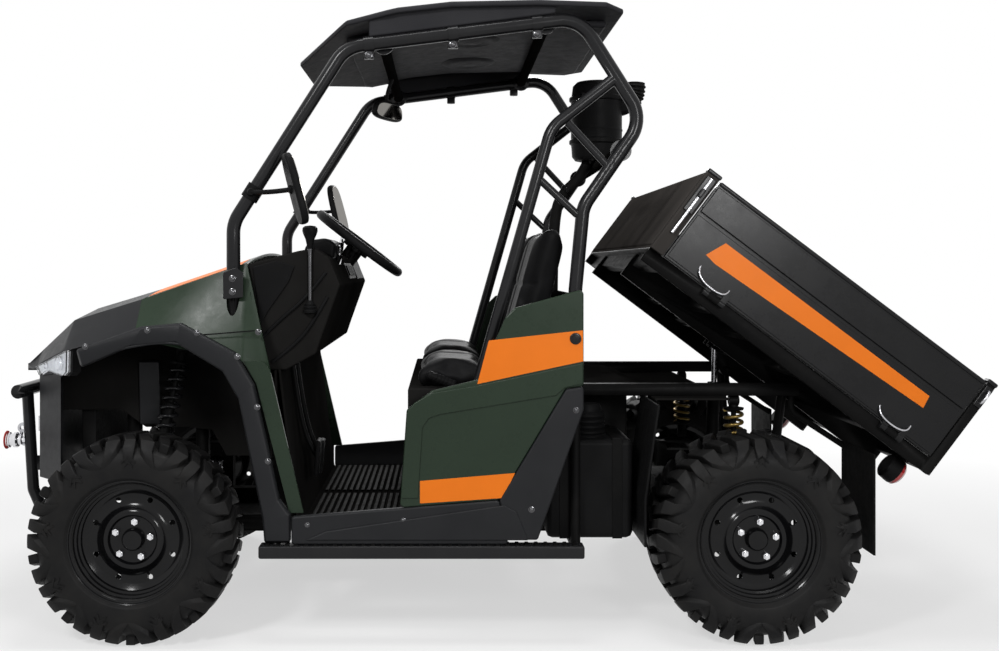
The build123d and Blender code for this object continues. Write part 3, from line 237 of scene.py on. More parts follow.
# Making and shaping pieces
def bare():
    """Leaves edit mode with nothing selected."""
    if bpy.context.object and bpy.context.object.mode != "OBJECT":
        bpy.ops.object.mode_set(mode="OBJECT")
    bpy.ops.object.select_all(action="DESELECT")


def hold(piece):
    """Makes one piece the only one selected and the active one."""
    bare()
    piece.select_set(True)
    bpy.context.view_layer.objects.active = piece
    return piece


def named(name):
    """Names the piece that an operator has just added."""
    piece = bpy.context.object
    piece.name = name
    piece.data.name = name
    return piece


def into_edit(piece):
    """Opens a piece in edit mode with all of it selected."""
    hold(piece)
    bpy.ops.object.mode_set(mode="EDIT")
    bpy.ops.mesh.select_all(action="SELECT")


def out_of_edit():
    """Closes edit mode with the faces pointing outwards."""
    bpy.ops.mesh.select_all(action="SELECT")
    bpy.ops.mesh.remove_doubles(threshold=MERGE_GAP)
    bpy.ops.mesh.normals_make_consistent(inside=False)
    bpy.ops.object.mode_set(mode="OBJECT")


def settle_place(piece):
    """Puts a piece's place, turn and size into its mesh."""
    hold(piece)
    bpy.ops.object.transform_apply(location=True, rotation=True, scale=True)
    return piece


def moved(piece, matrix):
    """A piece put through a matrix, with its place in its mesh."""
    piece.matrix_world = matrix
    return settle_place(piece)


def modify(piece, kind, **settings):
    """Adds a modifier and applies it."""
    hold(piece)
    modifier = piece.modifiers.new(kind.title(), kind)
    for setting, value in settings.items():
        setattr(modifier, setting, value)
    bpy.ops.object.modifier_apply(modifier=modifier.name)
    return piece


def round_edges(piece, width, segments=2, angle=32):
    """Rounds the sharp edges of a piece."""
    return modify(
        piece, "BEVEL", width=width, segments=segments, limit_method="ANGLE", angle_limit=radians(angle),
        use_clamp_overlap=True, miter_outer="MITER_ARC",
    )


def sheet_piece(name, corners):
    """A flat face through the given corners, in order."""
    bare()
    bpy.ops.mesh.primitive_circle_add(vertices=len(corners), fill_type="NGON")
    piece = named(name)
    for vertex, corner in zip(piece.data.vertices, corners):
        vertex.co = corner
    return piece


def slab_piece(name, corners, depth):
    """A sheet with a thickness, given as the way from its face to its back."""
    piece = sheet_piece(name, corners)
    into_edit(piece)
    bpy.ops.mesh.extrude_region_move(TRANSFORM_OT_translate={"value": depth})
    out_of_edit()
    return piece


def turned_piece(name, section, steps=72, angle=tau):
    """A closed section of places across and out from the Y axis, turned about that axis."""
    bare()
    bpy.ops.mesh.primitive_circle_add(vertices=len(section), fill_type="NOTHING")
    piece = named(name)
    for vertex, (across, radius) in zip(piece.data.vertices, section):
        vertex.co = (0, across, radius)
    into_edit(piece)
    bpy.ops.mesh.spin(steps=steps, angle=angle, center=(0, 0, 0), axis=(0, 1, 0))
    out_of_edit()
    return piece


def box_piece(name, low, high, edge=0.003, segments=2):
    """A block between two corners with rounded edges."""
    bare()
    low, high = Vector(low), Vector(high)
    size = [abs(c) for c in high - low]
    bpy.ops.mesh.primitive_cube_add(size=1, location=(low + high) / 2, scale=size)
    piece = settle_place(named(name))
    return round_edges(piece, edge, segments) if edge else piece


def rod_piece(name, start, end, radius, sides=24, edge=0.0):
    """A round bar between two places."""
    bare()
    run = Vector(end) - Vector(start)
    turn = run.to_track_quat("Z", "Y").to_euler()
    middle = (Vector(start) + Vector(end)) / 2
    bpy.ops.mesh.primitive_cylinder_add(
        vertices=sides, radius=radius, depth=run.length, location=middle, rotation=turn
    )
    piece = settle_place(named(name))
    return round_edges(piece, edge) if edge else piece


def tube_piece(name, places, radius, closed=False, sides=3):
    """A smooth tube that runs near the given places."""
    bare()
    line = bpy.data.curves.new(name, "CURVE")
    line.dimensions = "3D"
    line.bevel_depth = radius
    line.bevel_resolution = sides
    line.use_fill_caps = True
    line.resolution_u = 8
    spline = line.splines.new("NURBS")
    spline.points.add(len(places) - 1)
    for knot, place in zip(spline.points, places):
        knot.co = (*place, 1)
    spline.use_cyclic_u = closed
    spline.order_u = 3
    spline.use_endpoint_u = not closed
    piece = bpy.data.objects.new(name, line)
    bpy.context.scene.collection.objects.link(piece)
    hold(piece)
    bpy.ops.object.convert(target="MESH")
    return named(name)


def joined(name, pieces):
    """Several pieces made one."""
    hold(pieces[0])
    for piece in pieces[1:]:
        piece.select_set(True)
    if len(pieces) > 1:
        bpy.ops.object.join()
    return named(name)


def copied(piece, name, matrix):
    """A copy of a piece with its own mesh, moved by a matrix; mirrored faces are turned out again."""
    mesh = piece.data.copy()
    copy = bpy.data.objects.new(name, mesh)
    mesh.name = name
    bpy.context.scene.collection.objects.link(copy)
    moved(copy, matrix)
    if matrix.determinant() < 0:
        into_edit(copy)
        bpy.ops.mesh.normals_make_consistent(inside=False)
        bpy.ops.object.mode_set(mode="OBJECT")
    return copy


def finish_piece(piece, finish, smooth=40, stands_for=(), body="chassis"):
    """Gives a piece its finish and its body, and hides the nodes that it stands for."""
    piece.data.materials.clear()
    piece.data.materials.append(finishes[finish])
    hold(piece)
    bpy.ops.object.shade_smooth_by_angle(angle=radians(smooth))
    modify(piece, "WEIGHTED_NORMAL", keep_sharp=True)
    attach(piece, body)
    for node in stands_for:
        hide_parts(node)
    return piece


# Nodes that are dressed, two of them with a small change of shape
NODE_MERGE_GAP = 2e-5
FLAT_DEGREES = 0.5
NOSE_STATIONS = (-1340, -1425)
NOSE_SIDES = (335, 372)
NOSE_HEIGHTS = (900, 830)
NOSE_DRAW = (38, 0, 14)
DASH_STATIONS = (-480, -330)
DASH_DRAW = 45


def share_of(value, start, end):
    """How far a value lies between two others, from none to one."""
    return min(max((value - start) / (end - start), 0.0), 1.0)


def draw_in_nose(place):
    """Draws in the nose's two front corners, beside the headlamps."""
    along = share_of((place.x - MIDDLE) / MM, *NOSE_STATIONS)
    across = share_of(abs(place.y) / MM, *NOSE_SIDES)
    share = along * across * share_of(place.z / MM, *NOSE_HEIGHTS)
    return place + mm(*(way * share for way in NOSE_DRAW))


def draw_in_dash(place):
    """Brings the dashboard's rear face nearer to the hood."""
    return place - mm(DASH_DRAW * share_of((place.x - MIDDLE) / MM, *DASH_STATIONS), 0, 0)


SHAPED_NODES = {"nose_cover": draw_in_nose, "dashboard": draw_in_dash}


def dressed_node(node, finish, edge):
    """A copy of a node with its facets merged and its edges rounded, in place of the node."""
    source = frame["nodes"][node]
    mesh = source.data.copy()
    mesh.name = node + "_dressed"
    piece = bpy.data.objects.new(node + "_dressed", mesh)
    bpy.context.scene.collection.objects.link(piece)
    into_edit(piece)
    bpy.ops.mesh.remove_doubles(threshold=NODE_MERGE_GAP)
    if edge:
        bpy.ops.mesh.dissolve_limited(angle_limit=radians(FLAT_DEGREES))
    bpy.ops.object.mode_set(mode="OBJECT")
    shape = SHAPED_NODES.get(node)
    if shape:
        for vertex in piece.data.vertices:
            vertex.co = shape(vertex.co)
    if edge:
        round_edges(piece, edge)
    return finish_piece(piece, finish, 42, [node], source["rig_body"])


# Settings
class PaintSettings(bpy.types.PropertyGroup):
    body_green: bpy.props.FloatVectorProperty(
        name="Body green", description="Colour of the hood, fenders and side panels", subtype="COLOR",
        default=(0.021, 0.035, 0.0215), min=0, max=1,
    )
    stripe_orange: bpy.props.FloatVectorProperty(
        name="Stripe orange", description="Colour of the stripes on hood, sides and bed", subtype="COLOR",
        default=(0.87, 0.2, 0.014), min=0, max=1,
    )


class WheelSettings(bpy.types.PropertyGroup):
    lug_groups: bpy.props.IntProperty(
        name="Lug groups", description="V-shaped groups of lugs round one side of a tyre", default=9, min=6,
        max=14,
    )
    vent_holes: bpy.props.IntProperty(
        name="Vent holes", description="Holes round the disc of a rim", default=8, min=4, max=12
    )
    wheel_nuts: bpy.props.IntProperty(
        name="Wheel nuts", description="Nuts round the hub of a rim", default=5, min=3, max=8
    )


class SeatSettings(bpy.types.PropertyGroup):
    pressure: bpy.props.FloatProperty(
        name="Stuffing pressure", description="Pressure that swells the seat covers", default=4.0, min=0.5,
        max=10,
    )
    swell_limit: bpy.props.FloatProperty(
        name="Swell limit", description="The furthest that a point of the cover may move", default=0.024,
        unit="LENGTH",
    )
    mesh_step: bpy.props.FloatProperty(
        name="Mesh step", description="Size of the cover's mesh before it is divided", default=0.006,
        unit="LENGTH",
    )
    frames: bpy.props.IntProperty(
        name="Frames", description="How long the covers swell", default=20, min=5, max=40
    )


class StageSettings(bpy.types.PropertyGroup):
    camera_distance: bpy.props.FloatProperty(
        name="Camera distance", description="From the vehicle's middle plane to the camera", default=4.2,
        unit="LENGTH",
    )
    camera_height: bpy.props.FloatProperty(
        name="Camera height", description="Height of the level camera", default=1.18, unit="LENGTH"
    )
    lens: bpy.props.FloatProperty(name="Lens", description="Focal length in millimetres", default=40.36)
    floor_colour: bpy.props.FloatVectorProperty(
        name="Floor colour", description="Colour of the pale floor", subtype="COLOR",
        default=(0.84, 0.84, 0.84),
    )


# Wheels
SHOULDER = [  # share of the half width and radius at the foot of a lug, then at its top
    (0.04, 0.298, 0.03, 0.3246),
    (0.42, 0.297, 0.42, 0.3244),
    (0.70, 0.291, 0.76, 0.3200),
    (0.86, 0.274, 0.93, 0.2950),
    (0.94, 0.257, 0.985, 0.2700),
    (0.95, 0.243, 0.975, 0.2490),
]
GROUP_ARC = 40
LUG_ARCS = {  # degrees in a group's arc at each place from the crown to the sidewall
    "left_arm": [(1.0, 6.5), (3.5, 9.5), (6.0, 14.0), (7.5, 14.5), (12.0, 16.8), (17.2, 20.2)],
    "right_arm": [(23.0, 28.5), (26.0, 32.0), (26.5, 34.5), (25.5, 32.5), (23.2, 28.0), (19.8, 22.8)],
    "mid_block": [(13.0, 18.5), (15.0, 21.0), (17.5, 22.5)],
    "gap_arm": [(32.0, 37.5), (35.0, 40.5), (37.2, 43.2), (36.5, 43.5), (37.0, 43.0), (38.6, 41.4)],
}
LUG_SINK = 0.003
LUG_EDGE = 0.0022
CHEVRON = [  # share of the half width, way below the tip, share of the way to the foot
    (0.957, 0.0, 0), (0.966, 0.007, 0), (0.945, 0.024, 1), (0.955, 0.017, 1),
]
CHEVRON_RISE = 0.004
CHEVRON_TIPS = [(0.272, 5.0), (0.257, 3.6)]  # radius of the tip, degrees from tip to foot
BEAD = [(0.985, 0.1786), (1.03, 0.186)]  # share of the bead's place across, radius
CARCASS = [  # share of the half width, radius
    (0.92, 0.199), (0.945, 0.204), (0.955, 0.222), (0.962, 0.24), (0.945, 0.258), (0.88, 0.276), (0.76, 0.29),
    (0.5, 0.2985), (0.2, 0.3),
]
TYRE_BEADS = [("front", FRONT_HUB, 0.0887), ("rear", REAR_HUB, 0.1077)]
RIM_SEATS = [("front", FRONT_HUB, 0.089), ("rear", REAR_HUB, 0.108)]
DISC_SIDE = 0.690
LIP_DEPTH = 0.0085
RIM_LIP = [(0.0, 0.1945), (-0.0025, 0.1925), (0.0, 0.189), (0.006, 0.187)]
RIM_STEPS = [(0.002, 0.180), (0.012, 0.1765), (0.0135, 0.170), (0.024, 0.168), (0.026, 0.161), (0.036, 0.159)]
RIM_DISC = [
    (-0.002, 0.150), (0.004, 0.142), (0.004, 0.122), (-0.002, 0.106), (-0.012, 0.098), (-0.016, 0.090),
    (-0.014, 0.078), (-0.006, 0.072), (-0.004, 0.042), (-0.004, 0.0), (0.012, 0.0), (0.012, 0.07),
    (0.004, 0.085), (0.004, 0.1), (0.012, 0.125), (0.012, 0.146), (0.016, 0.17),
]
RIM_INNER = [(0.003, 0.182), (-0.006, 0.1783)]
RIM_OUTER = [(0.006, 0.1783), (-0.003, 0.184)]
HUB_SECTION = [(0.012, 0.0), (0.012, 0.06), (0.03, 0.06), (0.03, 0.0)]
CAP_SECTION = [(0.0, 0.0), (0.0, 0.036), (-0.016, 0.034), (-0.022, 0.029), (-0.024, 0.0)]
VENT_CIRCLE = 0.13
VENT_RADIUS = 0.009
NUT_CIRCLE = 0.0575
NUT_TURN = 0.1


def tyre_place(across, radius, degrees, half_width):
    """A place on the tyre from its share across, its radius and its turn about the axle."""
    turn = radians(degrees)
    return Vector((radius * sin(turn), across * half_width, radius * cos(turn)))


def lug_piece(name, arcs, half_width, side):
    """One tread lug from the crown down over the shoulder."""
    rows = SHOULDER[: len(arcs)]
    bare()
    bpy.ops.mesh.primitive_grid_add(x_subdivisions=2, y_subdivisions=len(rows) - 1)
    piece = named(name)
    tops, feet = [], []
    for (foot_across, foot, top_across, top), (start, end) in zip(rows, arcs):
        for share in (0, 0.5, 1):
            turn = start + (end - start) * share
            tops.append(tyre_place(side * top_across, top, turn, half_width))
            feet.append(tyre_place(side * foot_across, foot - LUG_SINK, turn + share - 0.5, half_width))
    for vertex, top in zip(piece.data.vertices, tops):
        vertex.co = top
    into_edit(piece)
    bpy.ops.mesh.extrude_region()
    bpy.ops.object.mode_set(mode="OBJECT")
    for index, foot in enumerate(feet, len(tops)):
        piece.data.vertices[index].co = foot
    into_edit(piece)
    out_of_edit()
    return round_edges(piece, LUG_EDGE, 1)


def chevron_piece(name, half_width, side, tip, spread):
    """A small raised V on the sidewall between two lug groups."""
    lines = []
    for way in (-spread, spread):
        corners = [
            tyre_place(side * across, tip - below, way * foot, half_width) for across, below, foot in CHEVRON
        ]
        lines.append(slab_piece(name, corners, (0, side * CHEVRON_RISE, 0)))
    return joined(name, lines)


def tyre_piece(name, half_width, bead, groups):
    """A whole tyre about the origin: a rounded carcass with groups of lugs all round."""
    half = [(bead * share, radius) for share, radius in BEAD]
    half += [(share * half_width, radius) for share, radius in CARCASS]
    section = [(-across, radius) for across, radius in half] + half[::-1]
    carcass = turned_piece(name, section, 96)
    sector = 360 / groups
    stretch = sector / GROUP_ARC
    lugs = []
    for side, shift in ((-1, 0), (1, sector / 2)):
        for key, arcs in LUG_ARCS.items():
            arcs = [(shift + start * stretch, shift + end * stretch) for start, end in arcs]
            lugs.append(lug_piece(name + key, arcs, half_width, side))
        for tip, spread in CHEVRON_TIPS:
            mark = chevron_piece(name + "mark", half_width, side, tip, spread)
            lugs.append(moved(mark, Matrix.Rotation(radians(shift), 4, "Y")))
    ring = joined(name + "_lugs", lugs)
    into_edit(ring)
    bpy.ops.mesh.spin(steps=groups, dupli=True, angle=tau, center=(0, 0, 0), axis=(0, 1, 0))
    bpy.ops.mesh.select_all(action="SELECT")
    bpy.ops.mesh.remove_doubles(threshold=MERGE_GAP)
    bpy.ops.object.mode_set(mode="OBJECT")
    return joined(name, [carcass, ring])


def on_both_hubs(piece, name, hub):
    """A wheel's piece put on the left hub and a mirrored copy on the right one, each with its side."""
    right = copied(piece, name + "_right", Matrix.Translation((hub.x, -hub.y, hub.z)) @ MIRROR)
    return ("left", moved(piece, Matrix.Translation(hub))), ("right", right)


class VEHICLE_OT_tyres(bpy.types.Operator):
    """Makes the four lug tyres"""

    bl_idname = "vehicle.tyres"
    bl_label = "Tyres"

    def execute(self, context):
        groups = context.scene.vehicle_wheels.lug_groups
        for axle, hub, bead in TYRE_BEADS:
            low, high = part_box(f"tyre_{axle}_left")
            tyre = tyre_piece(f"lug_tyre_{axle}_left", (high.y - low.y) / 2, bead, groups)
            for side, piece in on_both_hubs(tyre, f"lug_tyre_{axle}", hub):
                finish_piece(piece, "tyre", 34, [f"tyre_{axle}_{side}"], f"wheel_{axle}_{side}")
        return {"FINISHED"}


def shifted(section, line):
    """A turned section moved across to start from a line."""
    return [(line + across, radius) for across, radius in section]


def round_axle(radius, turn, side):
    """A place round the axle at a radius, a turn and a place across."""
    return Vector((radius * sin(turn), side, radius * cos(turn)))


def rim_piece(name, seat, disc, vents):
    """A pressed steel wheel about the origin, its outer face towards -Y."""
    outer = seat + LIP_DEPTH
    section = shifted(RIM_LIP, -outer) + shifted(RIM_STEPS, -seat) + shifted(RIM_DISC, -disc)
    section += [(0.0, 0.17), (seat, 0.172), (outer, 0.189), (outer, 0.1945)]
    section += shifted(RIM_INNER, seat) + shifted(RIM_OUTER, -seat)
    rim = turned_piece(name, section, 80)
    cutters = []
    for index in range(vents):
        middle = round_axle(VENT_CIRCLE, tau * (index + 0.5) / vents, -disc)
        ends = middle - Vector((0, 0.03, 0)), middle + Vector((0, 0.05, 0))
        cutters.append(rod_piece(name + "_vent", *ends, VENT_RADIUS, 16))
    cutter = joined(name + "_vents", cutters)
    modify(rim, "BOOLEAN", operation="DIFFERENCE", object=cutter, solver="EXACT")
    bpy.data.objects.remove(cutter)
    hub = turned_piece(name + "_hub", shifted(HUB_SECTION, -disc), 40)
    cap = turned_piece(name + "_cap", shifted(CAP_SECTION, -disc), 40)
    return joined(name, [rim, hub, cap])


def nut_piece(name, disc, count):
    """The ring of wheel nuts, each with its dome."""
    nuts = []
    for index in range(count):
        place = round_axle(NUT_CIRCLE, tau * (index + NUT_TURN) / count, -disc - 0.004)
        dome = place - Vector((0, 0.012, 0)), place - Vector((0, 0.023, 0))
        nuts.append(rod_piece(name, place, place - Vector((0, 0.018, 0)), 0.0115, 6, 0.0015))
        nuts.append(rod_piece(name, *dome, 0.008, 16, 0.003))
    return joined(name, nuts)


class VEHICLE_OT_rims(bpy.types.Operator):
    """Makes the four pressed steel rims with their nuts"""

    bl_idname = "vehicle.rims"
    bl_label = "Rims"

    def execute(self, context):
        wheels = context.scene.vehicle_wheels
        for axle, hub, seat in RIM_SEATS:
            disc = DISC_SIDE + hub.y
            rim = rim_piece(f"steel_rim_{axle}_left", seat, disc, wheels.vent_holes)
            nuts = nut_piece(f"rim_nuts_{axle}_left", disc, wheels.wheel_nuts)
            for side, piece in on_both_hubs(rim, f"steel_rim_{axle}", hub):
                finish_piece(piece, "rim", 35, [f"rim_{axle}_{side}"], f"wheel_{axle}_{side}")
            for side, piece in on_both_hubs(nuts, f"rim_nuts_{axle}", hub):
                finish_piece(piece, "chrome", 35, body=f"wheel_{axle}_{side}")
        return {"FINISHED"}


# Panels, tubes and boxes made from their nodes
NODE_LOOKS = {  # finish and record slot, then the nodes with the width of their rounded edges
    ("frame", "suspension"): {
        "knuckle_left": 0.003, "knuckle_right": 0.003, "rear_hub_carriers": 0.003, "suspension_arms": 0.0,
    },
    ("steel", "steel"): {"drive_shafts": 0.0, "steering_rack": 0.0, "lift_rod": 0.001},
    ("cab", "control"): {"steering_gear": 0.0, "steering_wheel": 0.0},
    ("frame", "frame"): {
        "chassis_frame": 0.0, "belly_plate": 0.0015, "tow_hitch": 0.002, "muffler": 0.008,
        "lift_barrel": 0.002,
    },
    ("liner", "trim"): {"floor_pan": 0.002, "dashboard": 0.014, "seat_base": 0.006, "engine_cover": 0.006},
    ("green", "green"): {"hood": 0.003, "front_fenders": 0.003, "side_panels": 0.004},
    ("trim", "trim"): {"nose_cover": 0.004, "arch_trims": 0.0, "rear_trims": 0.005, "sills": 0.005},
    ("cage", "cage"): {"bull_bar": 0.0, "roll_cage_sides": 0.0, "step_bars": 0.006},
    ("liner", "cage"): {"roll_cage_cross_tubes": 0.0},
    ("roof", "roof"): {"roof_panel": 0.006},
    ("iron", "engine"): {"engine": 0.008, "axle_gearboxes": 0.01, "radiator": 0.004},
    ("cab", "trim"): {"rear_guards": 0.002},
    ("cab", "tank"): {"fuel_tank": 0.02},
    ("rubber", "flap"): {"mud_flaps": 0.002},
    ("frame", "bed"): {"bed_floor": 0.0},
    # The headboard node takes the board finish, whose brown-grey is painted sheen.
    ("board", "bed"): {"bed_headboard": 0.003},
    ("bed", "bed"): {"tailgate": 0.003, "bed_side_left": 0.003, "bed_side_right": 0.003},
}


class VEHICLE_OT_panels(bpy.types.Operator):
    """Rounds and finishes the panels, tubes and boxes of the frame"""

    bl_idname = "vehicle.panels"
    bl_label = "Panels and tubes"

    def execute(self, context):
        for (finish, slot), nodes in NODE_LOOKS.items():
            for node, edge in nodes.items():
                dressed_node(node, finish, edge)
        return {"FINISHED"}


# Shapes that many pieces share
BED_FRAME = Matrix.Translation(BED_PIVOT) @ Matrix.Rotation(BED_TILT, 4, "Y")
TO_LEFT = Vector((0, -1, 0))
TO_RIGHT = Vector((0, 1, 0))
REARWARDS = Vector((1, 0, 0))
UPWARDS = Vector((0, 0, 1))
BOLT_SECTION = [(0, 0), (0, 10), (1.6, 10), (2.4, 7.6), (5.6, 6.4), (7.2, 3.4), (7.6, 0)]


def turned_at(name, section, place, way, steps=32):
    """A piece turned about a line; the section gives millimetres along the line and out from it."""
    piece = turned_piece(name, [(along * MM, out * MM) for along, out in section], steps)
    turn = TO_RIGHT.rotation_difference(Vector(way)).to_matrix().to_4x4()
    return moved(piece, Matrix.Translation(place) @ turn)


def bolt_heads(name, places, way, scale=1.0):
    """Domed bolt heads on their washers, all facing one way."""
    section = [(along * scale, out * scale) for along, out in BOLT_SECTION]
    return joined(name, [turned_at(name, section, place, way, 16) for place in places])


def both_sides(name, pieces):
    """Pieces of the left side and their mirror images, as one piece."""
    left = joined(name, pieces)
    return joined(name, [left, copied(left, name, MIRROR)])


def finish_pair(name, pieces, finish, smooth=40, stands_for=(), body="chassis"):
    """Pieces of the left side and their mirror images, finished as one piece."""
    finish_piece(both_sides(name, pieces), finish, smooth, stands_for, body)


def finish_bed_sides(name, pieces, finish, smooth=40):
    """Pieces in the bed's own directions, finished on its left side and, mirrored, on its right."""
    left = moved(joined(name + "_left", pieces), BED_FRAME)
    right = copied(left, name + "_right", MIRROR)
    finish_piece(left, finish, smooth, body="bed_side_left")
    finish_piece(right, finish, smooth, body="bed_side_right")


def coil_piece(name, start, end, radius, wire, turns):
    """A wound spring between two places."""
    bare()
    bpy.ops.mesh.primitive_circle_add(
        vertices=10, radius=wire, location=(radius, 0, 0), rotation=(pi / 2, 0, 0)
    )
    piece = settle_place(named(name))
    run = Vector(end) - Vector(start)
    modify(piece, "SCREW", screw_offset=run.length / turns, iterations=turns, steps=28, render_steps=28)
    into_edit(piece)
    bpy.ops.mesh.fill_holes(sides=12)
    out_of_edit()
    return moved(piece, Matrix.Translation(start) @ run.to_track_quat("Z", "Y").to_matrix().to_4x4())


def profile_piece(name, outline, sides, edge, segments=2):
    """A side view in stations and heights, drawn across between two sides in millimetres."""
    start, end = sides
    corners = [at(station, start, z) for station, z in outline]
    piece = slab_piece(name, corners, (0, (end - start) * MM, 0))
    return round_edges(piece, edge, segments) if edge else piece


def pipe_piece(name, places, radius):
    """A smooth tube near places in stations, sides and heights in millimetres."""
    return tube_piece(name, [at(*place) for place in places], radius)


def ribbed_hose(name, places, radius, ribs):
    """A bellows hose along a smooth line: a tube with raised rings."""
    tube = tube_piece(name, places, radius)
    guide = tube_piece(name + "_line", places, 0.0)
    line = [vertex.co.copy() for vertex in guide.data.vertices]
    bpy.data.objects.remove(guide)
    rings = []
    for index in range(ribs):
        spot = (len(line) - 2) * (index + 0.5) / ribs
        low = int(spot)
        run = line[low + 1] - line[low]
        place = line[low] + run * (spot - low)
        bare()
        turn = run.to_track_quat("Z", "Y").to_euler()
        bpy.ops.mesh.primitive_torus_add(
            major_radius=radius, minor_radius=radius * 0.13, major_segments=24, minor_segments=8,
            location=place, rotation=turn,
        )
        rings.append(settle_place(named(name)))
    return joined(name, [tube] + rings)


# Springs and dampers
SHOCKS = [  # axle, foot, head, turns and finish of the spring
    ("front", at(-975, -425, 493.5), at(-893, -372, 900), 9, "cage"),
    # The rear springs' gold finish holds painted shade.
    ("rear", at(975, -415, 493.3), at(975, -415, 726.7), 6, "gold"),
]
COIL_FOOT = 0.18
COIL_HEAD = 0.86
COIL_RADIUS = 0.0285
COIL_WIRE = 0.0058
EYE_RADIUS = 0.018
EYE_HALF = 17


class VEHICLE_OT_springs(bpy.types.Operator):
    """Makes the four dampers with their wound springs"""

    bl_idname = "vehicle.springs"
    bl_label = "Springs and dampers"

    def damper_section(self, length):
        """The body with its lower cup, the thin rod and the upper cup, in millimetres from the foot."""
        low, high = 0.16 * length, COIL_HEAD * length
        return [
            (12, 0), (12, 14), (20, 17), (low, 17), (low, 31), (low + 4, 34), (low + 8, 34), (low + 10, 18),
            (0.54 * length, 17), (0.55 * length, 9), (high, 9), (high, 31), (high + 4, 34), (high + 8, 34),
            (high + 10, 17), (length - 14, 15), (length - 12, 0),
        ]

    def execute(self, context):
        dampers = []
        half_eye = mm(EYE_HALF, 0, 0)
        for axle, foot, head, turns, finish in SHOCKS:
            run = head - foot
            dampers.append(turned_at("damper", self.damper_section(run.length / MM), foot, run, 28))
            for place in (foot, head):
                dampers.append(rod_piece("eye", place - half_eye, place + half_eye, EYE_RADIUS, 24, 0.003))
            ends = foot + run * COIL_FOOT, foot + run * COIL_HEAD
            coil = coil_piece(axle + "_coil", *ends, COIL_RADIUS, COIL_WIRE, turns)
            finish_pair(axle + "_springs", [coil], finish, 60)
        finish_pair("dampers", dampers, "frame", 40, ["shock_absorbers"])
        return {"FINISHED"}


# Seats
SEAT_MIDDLE = -0.31
SEAT_HOLLOW = 0.17
SEAT_REST = 785.6
SEAT_EDGE = 0.034
CREASE_ROUNDS = 24
BOLSTER_SEAMS = [(1, -0.435), (1, -0.185)]  # axis and place
BACK_SEAM = (2, 1.12)
SEAT_COVERS = [  # name, node, sides, facing, seams and side view
    (
        "seat_cushion", "seat_cushions", (-542, -78), (0, 0, 1), BOLSTER_SEAMS,
        [(-96, 787), (146, 787), (146, 846), (-30, 856), (-96, 842)],
    ),
    (
        "seat_back", "seat_backs", (-532, -88), (-0.97, 0, 0.24), BOLSTER_SEAMS + [BACK_SEAM],
        [(186, 790), (252, 790), (388, 1306), (330, 1312)],
    ),
]


def swell(piece, seats):
    """Lets pressure swell a cover, with no point moving further than the limit, and smooths its creases."""
    scene = bpy.context.scene
    start = [vertex.co.copy() for vertex in piece.data.vertices]
    hold(piece)
    cloth = piece.modifiers.new("Cover", "CLOTH")
    cloth.settings.use_pressure = True
    cloth.settings.uniform_pressure_force = seats.pressure
    cloth.settings.effector_weights.gravity = 0
    cloth.point_cache.frame_start = 1
    cloth.point_cache.frame_end = seats.frames
    for number in range(1, seats.frames + 1):
        scene.frame_set(number)
    bpy.ops.object.modifier_apply(modifier=cloth.name)
    scene.frame_set(1)
    for vertex, place in zip(piece.data.vertices, start):
        way = vertex.co - place
        if way.length > seats.swell_limit:
            vertex.co = place + way.normalized() * seats.swell_limit
    modify(piece, "SMOOTH", factor=0.5, iterations=CREASE_ROUNDS)


def sew(piece, facing, seams, rest, depth=0.004, width=0.007, hollow=0.014):
    """Draws a cover in along its seams, hollows it between its bolsters and lays its foot on its rest."""
    moves = []
    for vertex in piece.data.vertices:
        move = Vector()
        if vertex.normal.dot(facing) > 0.2:
            pull = sum(exp(-(((vertex.co[axis] - place) / width) ** 2)) for axis, place in seams)
            dip = max(0.0, 1 - ((vertex.co.y - SEAT_MIDDLE) / SEAT_HOLLOW) ** 2)
            move = -vertex.normal * min(pull, 1.0) * depth - facing * dip * hollow
        moves.append(move)
    for vertex, move in zip(piece.data.vertices, moves):
        vertex.co += move
        vertex.co.z = max(vertex.co.z, rest)


def seat_cover(name, outline, sides, facing, seams, seats):
    """A stuffed cover, swollen from a smaller block and sewn along its seams."""
    piece = profile_piece(name, outline, sides, SEAT_EDGE, 5)
    piece.data.remesh_voxel_size = seats.mesh_step
    bpy.ops.object.voxel_remesh()
    swell(piece, seats)
    sew(piece, Vector(facing), seams, at(0, 0, SEAT_REST).z)
    return modify(piece, "SUBSURF", levels=1, render_levels=1)


class VEHICLE_OT_seats(bpy.types.Operator):
    """Makes the two stuffed seats, each a cushion and a back"""

    bl_idname = "vehicle.seats"
    bl_label = "Seats"

    def execute(self, context):
        seats = context.scene.vehicle_seats
        for name, node, sides, facing, seams, outline in SEAT_COVERS:
            left = seat_cover(name + "_left", outline, sides, facing, seams, seats)
            right = copied(left, name + "_right", MIRROR)
            for cover in (left, right):
                finish_piece(cover, "vinyl", 60, [node])
        return {"FINISHED"}


# Controls and cab
DASH_FACE = Vector((0.927, 0, 0.375))
DASH_RISE = Vector((-0.375, 0, 0.927))
DASH_MIDDLE = (-312, 1161.5)
LEVER_FOOT = at(-436, -581, 1035)
STICK = [(0, 0), (0, 6), (180, 7), (205, 9), (206, 0)]
BOOT = [(-6, 0), (-6, 21), (2, 22), (6, 17), (12, 20), (16, 15), (22, 17), (26, 12), (34, 8), (34, 0)]
KNOB = [(200, 0), (200, 9), (214, 11), (232, 15), (248, 22), (258, 25), (268, 24), (274, 17), (276, 0)]
BINNACLE = [(-474, 1230), (-452, 1266), (-395, 1274), (-363, 1256), (-371, 1200), (-442, 1228)]
GRAB_BAR = [
    (-390, 150, 1208), (-363, 152, 1262), (-345, 190, 1274), (-345, 470, 1274), (-363, 508, 1262),
    (-390, 510, 1208),
]
LEG_SHIELD = [(-541, 846), (-533, 846), (-470, 331), (-478, 331)]
CHEEK = [(-622, 1176), (-545, 1198), (-486, 1180), (-505, 1130), (-575, 1030), (-596, 985)]
